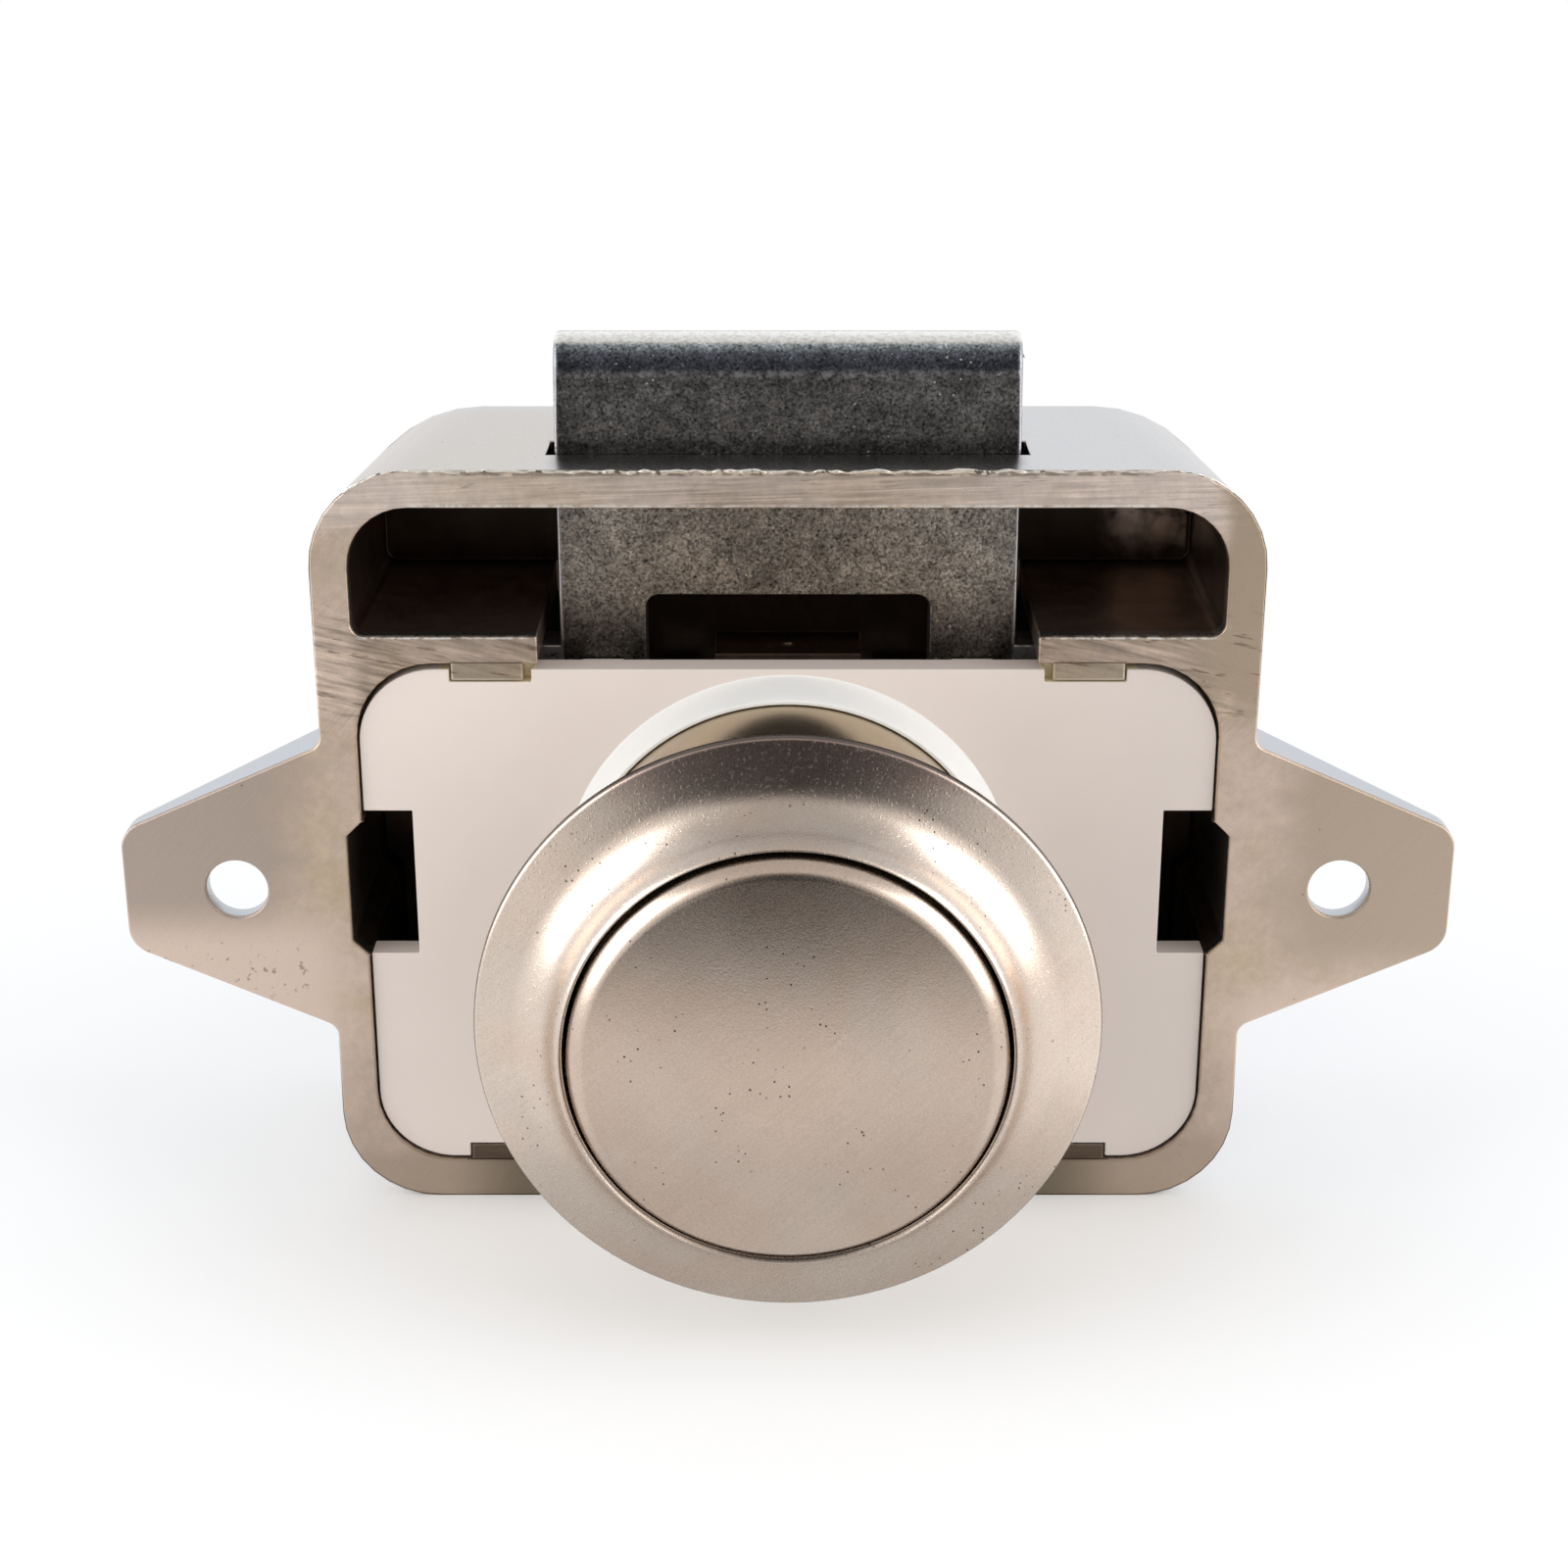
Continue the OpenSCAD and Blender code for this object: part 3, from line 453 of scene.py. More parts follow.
def case_finish(finish):
    """Nickel-plated casting: satin outside, a ground rim and ears, dull inside, with light and shade
    painted by place.
    """
    def zones(n):
        """Masks of the ground front and of the inside, up to the middle of the walls."""
        x, y, z = n.axes()
        half_x, half_z = CASE_HALF - CASE_CORNER, (CASE_TOP - CASE_BASE) / 2 - CASE_CORNER
        level = n.size(n.minus(z, (CASE_TOP + CASE_BASE) / 2))
        past = n.away(n.most(n.minus(n.size(x), half_x), 0.0), n.most(n.minus(level, half_z), 0.0))
        within = n.fall(past, CASE_CORNER - 1.3, CASE_CORNER - 1.1)
        return n.fall(y, 0.29, 0.33), n.all_of(within, n.band(y, 0.5, 1.5, 15.4, 15.6))

    def bars(n):
        """Masks of the top bar and of the shelves with the corners beside them."""
        z = n.axes()[2]
        return n.ramp(z, 20.5, 22.5), n.band(z, 9.0, 12.0, 15.6, 18.0)

    def ground(n):
        """Level strokes on the top bar, sweeping ones by the shelves, slanted ones elsewhere."""
        flat = n.strokes(0.03, 7.0, 0.17)
        slanted = n.strokes(0.85, 4.5, 0.13)
        swept = n.strokes(-0.24, 5.0, 0.40)
        bar, shelf = bars(n)
        return n.blend(bar, n.blend(shelf, slanted, swept), flat)

    def depth(n):
        """How strongly the strokes show."""
        bar, shelf = bars(n)
        return n.plus(n.plus(0.22, n.times(bar, 0.7)), n.times(shelf, 2.0))

    def tears(n):
        """Torn marks of the grinding wheel by the shelves, and a few dents low on the ears."""
        bar, shelf = bars(n)
        x, _, z = n.axes()
        long_tear = n.ramp(n.strokes(-0.20, 3.0, 0.45), 0.58, 0.66)
        dents = n.ramp(n.grain(0.6, 2.0), 0.60, 0.67, 0.0, 0.8)
        ear = n.all_of(n.band(z, -7.5, -6.0, -4.5, -3.0), n.ramp(x, -27.5, -28.5))
        torn = n.ramp(n.strokes(0.10, 2.4, 0.26), 0.60, 0.68, 0.0, 0.55)
        nicks = n.all_of(torn, bar, n.ramp(n.clouds(4.0, 0.2), 0.46, 0.58))
        return n.most(n.most(n.times(long_tear, shelf), nicks), n.times(dents, ear))

    def rim_light_and_shade(n, rim):
        """Light and shade painted by place on the ground face: painted shade on the upper ears, low on the
        rim, on the upper right bar, along the bottom bar, under the rosette, on the sill's lugs and along
        the seam by the lug, an olive tint on the lug, and painted highlights low on the ears and on the
        lug's edges.
        """
        x, y, z = n.axes()
        aside = n.size(x)
        drift = n.times(n.minus(n.clouds(6.0, 0.8), 0.5), 8.0)
        level = n.plus(z, drift)
        # Painted shade on the upper ears
        ear = n.all_of(n.ramp(n.plus(aside, drift), 26.0, 31.0), n.ramp(z, -6.5, -3.0))
        ear_shade = n.mix(n.ramp(x, -1.0, 1.0), (0.475, 0.39, 0.335), (0.50, 0.405, 0.32))
        rim = n.mix(ear, rim, ear_shade)
        lower = n.plus(z, n.ramp(x, -1.0, 1.0, -4.5, 0.0))  # the left ear is light further up
        # Painted highlight low on the ears
        low = n.all_of(n.ramp(aside, 25.0, 28.0), n.fall(lower, -8.5, -5.0))
        rim = n.mix(low, rim, (0.74, 0.605, 0.51))
        # Painted shade, darker towards the bottom
        rim = n.tint(rim, n.ramp(z, -13.0, -8.0, 0.86, 1.0))
        # Painted shade on the upper right bar
        right = n.all_of(n.ramp(n.plus(x, drift), 23.0, 25.0), n.ramp(level, 8.0, 12.0),
                         n.fall(aside, 27.0, 27.3))
        rim = n.mix(right, rim, (0.48, 0.385, 0.29))
        # Painted shade along the bottom bar
        foot = n.ramp(level, -17.5, -14.5, 0.9, 0.0)
        rim = n.mix(foot, rim, (0.44, 0.355, 0.28))
        # Painted shadow of the rosette on the bottom bar below it
        middle = n.all_of(n.fall(z, -17.0, -16.8), n.fall(aside, 15.5, 21.0))
        rim = n.mix(middle, rim, (0.215, 0.18, 0.135))
        # Painted shade on the lugs by the sill
        sill_lug_shade = n.all_of(n.band(n.minus(z, SILL), -0.05, 0.05, 0.9, 1.0), n.fall(aside, 19.3, 19.4))
        rim = n.mix(sill_lug_shade, rim, (0.13, 0.095, 0.07))
        # Painted shade along the seam between shelf and lug
        beside, up = n.size(n.minus(aside, LUG_X)), n.minus(z, SHELF_UNDER)
        seam = n.all_of(n.band(up, -0.07, -0.03, 0.07, 0.13), n.fall(beside, 2.0, 2.1))
        rim = n.mix(n.times(seam, 0.75), rim, (0.12, 0.09, 0.07))
        # An olive tint on the lug, and a painted highlight on its edges
        edge = n.most(n.ramp(beside, 1.88, 1.95), n.fall(up, -0.99, -0.92))
        lug = n.all_of(n.fall(beside, 2.1, 2.2), n.band(up, -1.25, -1.20, -0.10, -0.05))
        rim = n.mix(n.times(lug, 0.5), rim, (0.42, 0.36, 0.25))
        return n.mix(n.all_of(lug, edge, n.fall(y, 0.5, 0.6), 0.35), rim, (0.88, 0.82, 0.70))

    def edge_highlights(n):
        """Painted highlights in bright broken lines on the inner edge of the top bar and on the shelves."""
        x, y, z = n.axes()
        aside = n.size(x)
        bar = n.all_of(n.band(n.minus(z, BAR_UNDER), -0.10, -0.05, 0.06, 0.14), n.fall(aside, 20.5, 21.5))
        shelf = n.all_of(n.band(n.minus(z, SHELF_TOP), -0.15, -0.08, 0.05, 0.10),
                         n.fall(aside, 23.6, 24.4))
        broken = n.ramp(n.grain(0.7, 5.0), 0.42, 0.56)
        return n.all_of(n.most(bar, shelf), n.fall(y, 0.4, 0.5), broken)

    def ground_metal(n):
        """Brushed metal of the rim, paler and browner on the top bar, where the paleness is painted light.
        """
        bar, shelf = bars(n)
        olive = n.ramp(n.clouds(8.0, 0.41), 0.42, 0.68)
        rim = n.mix(olive, finish.rim_colour, colour_times(finish.rim_colour, (0.90, 0.89, 0.80)))
        # Painted light: the top bar paler and browner
        rim = n.mix(bar, rim, n.mix(olive, (0.77, 0.66, 0.59), (0.70, 0.59, 0.49)))
        dim = n.all_of(shelf, n.fall(n.size(n.axes()[0]), 23.5, 25.0))
        rim = n.tint(rim, n.swing(ground(n), depth(n)), n.scaled(n.clouds(0.5, 0.5), 0.30),
                     n.scaled(n.clouds(1.2, 0.6), 0.32), n.ramp(dim, 0.0, 1.0, 1.0, 0.76))
        return n.mix(n.times(tears(n), 0.7), rim_light_and_shade(n, rim), (0.20, 0.14, 0.10))

    def plated_metal(n):
        """Satin plate, cooler to the right and at the back, with painted shade on the outer sides and a
        painted dark reflection of the bolt on the top in front of it.
        """
        x, y, _ = n.axes()
        aside = n.size(x)
        drift = n.times(n.minus(n.clouds(7.0, 0.03), 0.5), 16.0)
        cool = n.most(n.ramp(n.plus(x, drift), -15.0, -9.0), n.ramp(y, 14.0, 16.5))
        satin = n.mix(cool, finish.case_colour, (0.63, 0.61, 0.60))
        satin = n.mix(n.ramp(aside, 26.8, 27.2), satin, (0.63, 0.645, 0.67))
        # Painted dark reflection of the bolt on the top in front of it, and painted shade on the outer
        # sides
        before = n.all_of(n.fall(aside, 12.6, 13.6), n.fall(y, 3.4, 4.0), n.ramp(y, 0.5, 2.5, 0.3, 1.0))
        return n.tint(satin, n.ramp(aside, 25.8, 26.6, 1.0, 0.88), n.minus(1.0, n.times(before, 0.5)))

    def inside_metal_and_shade(n):
        """Bare metal inside, its dull colour partly painted shade of the pockets, painted darker at the
        back, with one pale patch of painted reflection.
        """
        x, y, z = n.axes()
        # Partly own dull colour, partly painted shade; painted darker towards the back
        dull = n.tint(finish.inside_dull_and_shade, n.scaled(n.clouds(2.2, 0.7), 0.9),
                      n.ramp(y, 12.0, 14.5, 1.7, 0.42), n.ramp(z, 15.5, 15.6, 2.3, 1.0))
        # Painted reflection: a pale patch on the right pocket's back wall
        patch = n.all_of(n.band(x, 18.5, 21.0, 24.0, 24.2), n.ramp(z, 15.0, 19.0), n.ramp(y, 14.0, 14.5),
                         n.ramp(n.clouds(1.5, 0.9), 0.25, 0.70))
        return n.mix(patch, dull, (0.95, 0.80, 0.70))

    def shade(n):
        front, inside = zones(n)
        x, y, z = n.axes()
        metal = n.tint(n.mix(front, plated_metal(n), ground_metal(n)), n.scaled(n.grain(0.10, 2.0), 0.22))
        metal = n.mix(n.times(n.pits(0.9, 0.10, 0.35), 0.7), metal, (0.12, 0.09, 0.07))
        # Painted highlights along the inner edges
        metal = n.mix(n.times(edge_highlights(n), 0.8), metal, (0.95, 0.92, 0.88))
        up, aside = n.minus(z, CASE_TOP), n.size(x)
        # Painted shadow in a broken line under the burr
        burr_shadow = n.all_of(n.ramp(up, -0.32, -0.22), n.fall(y, 0.3, 0.4), n.fall(aside, 19.0, 21.0),
                              n.ramp(n.grain(1.2, 5.0), 0.42, 0.55))
        metal = n.mix(n.times(burr_shadow, 0.6), metal, (0.16, 0.12, 0.09))
        # Painted shade on the walls of the bolt's slot
        slot = n.all_of(n.fall(aside, SLOT_HALF, SLOT_HALF + 0.1), n.band(up, -2.3, -2.2, -0.25, -0.15),
                        n.band(y, 2.4, 2.6, 9.0, 9.2))
        return n.mix(slot, n.mix(inside, metal, inside_metal_and_shade(n)), (0.03, 0.022, 0.018))

    def rough(n):
        front, inside = zones(n)
        satin = n.scaled(n.grain(0.10, 2.0), 0.12, finish.satin - 0.02)
        rim = n.scaled(ground(n), 0.30, 0.50)
        return n.plus(n.blend(front, satin, rim), n.times(inside, 0.04))

    def height(n):
        strokes = n.times(ground(n), depth(n), 2.2)
        marks = n.times(n.minus(strokes, n.times(tears(n), 1.5)), zones(n)[0])
        return n.minus(n.plus(n.grain(0.12, 3.0), marks), n.pits(0.9, 0.10, 0.35))

    return new_material("case_satin_nickel", shade, 1.0, rough, height, strength=0.16, distance=0.03)


def even_metal(name, shade, rough, bump, strength, distance):
    """Metal with an even grain; rough and bump start with the grain's size and detail."""
    return new_material(name, shade, 1.0, lambda n: n.scaled(n.grain(*rough[:2]), *rough[2:]),
                        lambda n: n.grain(*bump), strength, distance)


def bolt_finish(finish):
    """Tumbled zinc casting: dark and mottled, with bright flecks and scratches, light and shade painted in
    bands and at the edges, and a painted highlight along the top of the nose.
    """
    def scratches(n):
        return n.ramp(n.strokes(0.95, 1.3, 0.05), 0.69, 0.76)

    def flecks(n):
        dots = n.most(n.pits(0.4, 0.17, 0.4, 0.7), n.pits(1.0, 0.085, 0.5, 0.0))
        return n.most(dots, scratches(n))

    def shade(n):
        x, y, z = n.axes()
        clouds = n.scaled(n.clouds(2.2, 0.07), 1.5)
        grain = n.scaled(n.grain(0.16, 5.0), 4.4)
        coarse = n.scaled(n.grain(0.6, 3.0), 1.2)
        # Painted reflections in bands: lighter brown low in the case, a dark bluish band below the top and
        # a paler bluish band at the top
        base = n.mix(n.ramp(z, 22.5, 25.5), (0.355, 0.325, 0.29), finish.bolt_colour)
        base = n.mix(n.ramp(z, 29.3, 29.8), base, (0.085, 0.092, 0.11))
        base = n.mix(n.ramp(z, 30.5, 31.15), base, (0.37, 0.41, 0.425))
        # Painted shade at the crease, low down, along the slot and towards the ends
        shadows = (n.ramp(n.size(n.minus(z, 28.95)), 0.1, 0.5, 0.8, 1.0), n.ramp(z, 14.0, 18.0, 0.35, 1.0),
                   n.ramp(n.size(n.minus(z, CASE_TOP - 0.1)), 0.2, 1.3, 0.6, 1.0),
                   n.ramp(n.size(x), BOLT_HALF - 2.5, BOLT_HALF - 0.1, 1.08, 0.80))
        metal = n.tint(base, *shadows, clouds, grain, coarse)
        metal = n.mix(n.times(flecks(n), 0.75), metal, (0.80, 0.79, 0.77))
        metal = n.mix(n.times(n.pits(0.7, 0.15, 0.6), 0.6), metal, (0.05, 0.045, 0.04))
        # Painted highlights on the crease and along the side edges
        crease = n.all_of(n.band(z, 29.2, 29.4, 29.5, 29.8), n.ramp(n.grain(0.5, 3.0), 0.44, 0.70))
        sides = n.all_of(n.ramp(n.size(x), BOLT_HALF - 0.14, BOLT_HALF),
                         n.ramp(n.grain(0.4, 3.0), 0.25, 0.45))
        metal = n.mix(n.most(n.times(crease, 0.6), n.times(sides, 0.8)), metal, (0.50, 0.50, 0.53))
        # Painted highlight along the top of the nose, ragged and dimmer towards the back
        ragged = n.plus(z, n.times(n.grain(0.35, 5.0), 0.16))
        bright = n.tint((0.99, 0.94, 0.88), n.scaled(n.grain(0.25, 4.0), 1.2),
                        n.ramp(y, 6.08, 6.45, 1.0, 0.55))
        return n.mix(n.ramp(ragged, 31.00, 31.26, 0.0, 0.95), metal, bright)

    return new_material("bolt_cast_zinc", shade, 1.0, lambda n: n.scaled(n.grain(0.2, 3.0), 0.3, 0.36),
                        lambda n: n.plus(n.grain(0.16, 4.0), n.times(flecks(n), 0.4)),
                        strength=0.40, distance=0.05)


def burr_finish(finish):
    """Bare bright metal of the burr, with dark specks where it broke away."""
    def shade(n):
        dark = n.ramp(n.grain(0.7, 5.0), 0.58, 0.62, 0.0, 0.85)
        return n.mix(dark, finish.burr_colour, (0.10, 0.075, 0.055))

    return even_metal("burr_bright_metal", shade, (0.10, 2.0, 0.3, 0.38), (0.12, 3.0), 0.4, 0.05)


def sleeve_finish(finish):
    """Drawn and plated tube, with faint clouds."""
    return even_metal("sleeve_bright_nickel",
                      lambda n: n.tint(finish.sleeve_colour, n.scaled(n.clouds(4.0, 0.09), 0.2)),
                      (0.15, 2.0, 0.12, 0.20), (0.3, 2.0), 0.06, 0.03)


def moulded_plastic(name, base, collar=None):
    """Moulded plastic: faint clouds, a fine grain and a few specks; on the plate, painted shade darker to
    the right, the collar painted lighter as light from above makes it, and painted light in the lugs'
    recesses.
    """
    def shade(n):
        body = n.tint(base, n.scaled(n.clouds(12.0, 0.13), 0.10))
        if collar:
            x, y, z = n.axes()
            # Painted shade, darker to the right
            body = n.tint(body, n.ramp(x, 3.0, 24.0, 1.0, 0.84))
            # The collar painted lighter, as light from above makes it
            lit_collar_face = n.fall(n.away(x, z), COLLAR_R - 0.03, COLLAR_R + 0.03)
            body = n.mix(n.all_of(lit_collar_face, n.fall(y, 0.26, 0.32)), body, collar)
            # A light olive in the recesses beside the lugs, painted light that lifts their shade
            beside = n.size(n.minus(n.size(x), LUG_X))
            recess = n.all_of(n.fall(beside, 2.7, 2.8), n.ramp(z, 11.9, 12.0), n.ramp(y, 0.34, 0.42))
            body = n.mix(recess, body, (0.80, 0.70, 0.46))
        return n.mix(n.times(n.pits(2.6, 0.045, 0.35), 0.7), body, (0.12, 0.09, 0.07))

    return new_material(name, shade, 0.0, lambda n: n.scaled(n.grain(0.5, 3.0), 0.12, 0.42),
                        lambda n: n.grain(0.35, 3.0), strength=0.05, distance=0.04, specular=0.45)


def drawn_wire(finish):
    """Spring wire with a fine grain."""
    return even_metal("spring_drawn_wire",
                      lambda n: n.tint(finish.spring_colour, n.scaled(n.grain(0.12, 3.0), 0.5)),
                      (0.2, 2.0, 0.15, 0.32), (0.08, 2.0), 0.1, 0.02)


def zinc_plate(finish):
    """Bright zinc plate on the screw and washer."""
    return even_metal("screw_zinc_plate",
                      lambda n: n.tint(finish.screw_colour, n.scaled(n.clouds(1.5, 0.2), 0.3)),
                      (0.1, 2.0, 0.15, 0.28), (0.1, 2.0), 0.08, 0.02)


# Mesh helpers

def new_object(name, mesh, material):
    piece = bpy.data.objects.new(name, mesh)
    bpy.context.scene.collection.objects.link(piece)
    mesh.materials.clear()
    mesh.materials.append(material)
    return piece


def finished(shape, name, material):
    """An object from an edited shape, shaded smooth but with its flat faces kept flat."""
    mesh = bpy.data.meshes.new(name)
    shape.to_mesh(mesh)
    shape.free()
    piece = new_object(name, mesh, material)
    for face in mesh.polygons:
        face.use_smooth = True
    modifier = piece.modifiers.new("flat_faces", "WEIGHTED_NORMAL")
    modifier.mode = "FACE_AREA"
    modifier.weight = 50
    modifier.keep_sharp = True
    return piece


def round_edges(shape, radius, segments, wanted=lambda edge: True):
    """Rounds the sharp edges that are wanted."""
    sharp = [e for e in shape.edges
             if len(e.link_faces) == 2 and e.calc_face_angle(0.0) > SHARP and wanted(e)]
    bmesh.ops.bevel(shape, geom=sharp, offset=radius, offset_type="OFFSET", segments=segments,
                    profile=0.5, affect="EDGES", clamp_overlap=False, loop_slide=True)


def softened_copy(node, name, material, edge, wide=None):
    """A copy of a solid whose sharp edges are rounded.

    wide is a larger radius and a test for the edges that get it first."""
    shape = bmesh.new()
    shape.from_mesh(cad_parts[node].data)
    bmesh.ops.remove_doubles(shape, verts=shape.verts, dist=0.004 * MM)
    bmesh.ops.dissolve_limit(shape, angle_limit=FLAT, verts=shape.verts, edges=shape.edges)
    if wide:
        round_edges(shape, wide[0], 5, wide[1])
    round_edges(shape, edge, 3)
    return finished(shape, name, material)


def join_rings(shape, rings):
    """Faces between each closed ring of points and the next."""
    for here, there in zip(rings, rings[1:]):
        for k in range(len(here)):
            m = (k + 1) % len(here)
            shape.faces.new((here[k], here[m], there[m], there[k]))


def arc(centre, radius, start, end, steps):
    """Points of an arc in a half section, with angles in degrees from the radial axis."""
    points = []
    for i in range(steps + 1):
        a = math.radians(start + (end - start) * i / steps)
        points.append((centre[0] + radius * math.cos(a), centre[1] + radius * math.sin(a)))
    return points


def turned(name, section, material, segments):
    """A closed half section of (radius, y) points, in metres, turned round the button's axis."""
    shape = bmesh.new()
    rings = []
    for i in range(segments):
        a = 2 * math.pi * i / segments
        rings.append([shape.verts.new((r * math.cos(a), y, r * math.sin(a))) for r, y in section])
    join_rings(shape, rings + rings[:1])
    bmesh.ops.remove_doubles(shape, verts=shape.verts, dist=1e-7)
    bmesh.ops.recalc_face_normals(shape, faces=shape.faces)
    return finished(shape, name, material)


def bend(first, corner, last, steps):
    """Points of a soft bend round a corner, with both ends."""
    first, corner, last = Vector(first), Vector(corner), Vector(last)
    points = []
    for i in range(steps + 1):
        t = i / steps
        here = first.lerp(corner, t).lerp(corner.lerp(last, t), t)
        points.append((here.x, here.y))
    return points


def rounded_section(points, steps):
    """Rounds the corners of a closed section of (radius, y, corner radius) points."""
    result = []
    count = len(points)
    for i, (r, y, soft) in enumerate(points):
        here = Vector((r, y))
        if soft <= 0:
            result.append((r, y))
            continue
        before = (Vector(points[i - 1][:2]) - here).normalized()
        after = (Vector(points[(i + 1) % count][:2]) - here).normalized()
        half = before.angle(after) / 2
        reach = soft / math.tan(half)
        result += bend(here + before * reach, here, here + after * reach, steps)
    return result


def tube(name, path, radii, material, segments):
    """An unbroken round wire along points, with a radius for each point and flat ends."""
    shape = bmesh.new()
    rings = []
    side = None
    for i, (point, radius) in enumerate(zip(path, radii)):
        ahead = (path[min(i + 1, len(path) - 1)] - path[max(i - 1, 0)]).normalized()
        if side is None:
            side = ahead.orthogonal().normalized()
        side = (side - ahead * side.dot(ahead)).normalized()
        up = ahead.cross(side)
        ring = []
        for k in range(segments):
            a = 2 * math.pi * k / segments
            ring.append(shape.verts.new(point + (side * math.cos(a) + up * math.sin(a)) * radius))
        rings.append(ring)
    join_rings(shape, rings)
    shape.faces.new(list(reversed(rings[0])))
    shape.faces.new(rings[-1])
    bmesh.ops.recalc_face_normals(shape, faces=shape.faces)
    return finished(shape, name, material)


def settle(piece, body, slot, *nodes):
    """Gives a piece its body and hides the solids that it stands for; the slot is not used."""
    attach(piece, body)
    if nodes:
        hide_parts(*nodes)


# Operators, one for each piece or group of like pieces

class LOCK_OT_case(bpy.types.Operator):
    """Dress the case: soft edges and its nickel plate"""
    bl_idname = "lock.case"
    bl_label = "Case"

    def execute(self, context):
        scene = context.scene
        material = case_finish(scene.lock_finish)
        piece = softened_copy("lock_case", "case_casting", material, scene.lock_shape.case_edge)
        settle(piece, BODY_OF_CASE, "case_nickel", "lock_case")
        self.add_burr(scene)
        return {"FINISHED"}

    def add_burr(self, scene):
        """The uneven burr along the top front edge of the case."""
        half, top, corner = CASE_HALF * MM, CASE_TOP * MM, CASE_CORNER * MM
        path, radii = [], []
        steps = 900
        run, turn = 2 * (half - corner), corner * math.radians(38)
        for i in range(steps + 1):
            along = (run + 2 * turn) * i / steps - turn
            angle = (min(along, 0.0) + max(along - run, 0.0)) / corner
            x = min(max(along, 0.0), run) - run / 2 + corner * math.sin(angle)
            z = top - corner + corner * math.cos(angle)
            strong = max(0.6, min(1.0, (x + 15.0 * MM) / (4.0 * MM), (17.0 * MM - x) / (4.0 * MM)))
            broad = noise.noise(Vector((along / (2.4 * MM), 3.1, 0.4)))
            fine = noise.noise(Vector((along / (0.45 * MM), 7.7, 2.9)))
            size = strong * max(0.4, min(1.0, 0.72 + 0.6 * broad + 0.5 * fine))
            drop = 0.13 * MM * noise.noise(Vector((along / (0.8 * MM), 1.3, 5.2)))
            path.append(Vector((x, 0.03 * MM, z - 0.03 * MM + drop)))
            radii.append(scene.lock_shape.burr * size)
        burr = tube("case_burr", path, radii, burr_finish(scene.lock_finish), 8)
        settle(burr, BODY_OF_CASE, "case_nickel")


class LOCK_OT_plate(bpy.types.Operator):
    """Dress the mechanism plate and its collar"""
    bl_idname = "lock.plate"
    bl_label = "Mechanism plate"

    def execute(self, context):
        finish = context.scene.lock_finish
        material = moulded_plastic("plate_ivory_plastic", finish.plate_colour,
                                   finish.lit_collar_colour)
        piece = softened_copy("mechanism_plate", "plate_moulding", material,
                              context.scene.lock_shape.plate_edge)
        settle(piece, BODY_OF_CASE, "plate_plastic", "mechanism_plate")
        return {"FINISHED"}


class LOCK_OT_bolt(bpy.types.Operator):
    """Dress the bolt"""
    bl_idname = "lock.bolt"
    bl_label = "Bolt"

    def execute(self, context):
        shape = context.scene.lock_shape
        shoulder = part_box("bolt")[1].z - 1.95 * MM

        def at_nose_end(edge):
            return all(abs(v.co.x) > (BOLT_HALF - 0.01) * MM and v.co.z > shoulder for v in edge.verts)

        piece = softened_copy("bolt", "bolt_casting", bolt_finish(context.scene.lock_finish),
                              shape.bolt_edge, (shape.nose_end, at_nose_end))
        settle(piece, BODY_OF_BOLT, "bolt_zinc", "bolt")
        return {"FINISHED"}


class LOCK_OT_button(bpy.types.Operator):
    """Turn the button's cap, and dress the plunger, screw and washer behind it"""
    bl_idname = "lock.button"
    bl_label = "Button"

    def execute(self, context):
        scene = context.scene
        finish = scene.lock_finish
        low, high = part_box("push_button")
        radius, front, rear = high.x, low.y, high.y
        face_r, crown = 10.3 * MM, 0.5 * MM
        skirt_in, stud_r = radius - 0.95 * MM, 4.2 * MM
        inner, stud_end = front + 1.6 * MM, front + 6.4 * MM
        hole = 1.5 * MM
        crown_r = (face_r ** 2 + crown ** 2) / (2 * crown)
        section = []
        for i in range(25):
            r = face_r * i / 24
            section.append((r, front + crown_r - math.sqrt(crown_r ** 2 - r ** 2)))
        section += bend(section[-1], (10.87 * MM, front + 0.55 * MM), (radius, front + 1.3 * MM), 16)[1:]
        section += rounded_section([
            (radius, rear, 0.2 * MM), (skirt_in, rear, 0.2 * MM), (skirt_in, inner, 0.5 * MM),
            (stud_r, inner, 0.4 * MM), (stud_r, stud_end, 0.2 * MM), (hole, stud_end, 0.2 * MM),
            (hole, inner + 0.4 * MM, 0), (0.0, inner + 0.4 * MM, 0)], 4)
        nickel = satin_nickel("button_satin_nickel", finish.button_colour, finish.satin - 0.04)
        cap = turned("button_cap", section, nickel, scene.lock_shape.turn_segments)
        settle(cap, BODY_OF_BUTTON, "button_nickel", "push_button")
        plastic = moulded_plastic("plunger_white_plastic", finish.plunger_colour)
        plunger = softened_copy("plunger", "plunger_moulding", plastic, scene.lock_shape.plunger_edge)
        settle(plunger, BODY_OF_BUTTON, "plunger_plastic", "plunger")
        plated = zinc_plate(finish)
        for node, name in (("button_screw", "screw_dressed"), ("button_washer", "washer_dressed")):
            piece = softened_copy(node, name, plated, scene.lock_shape.screw_edge)
            settle(piece, BODY_OF_BUTTON, "screw_steel", node)
        return {"FINISHED"}


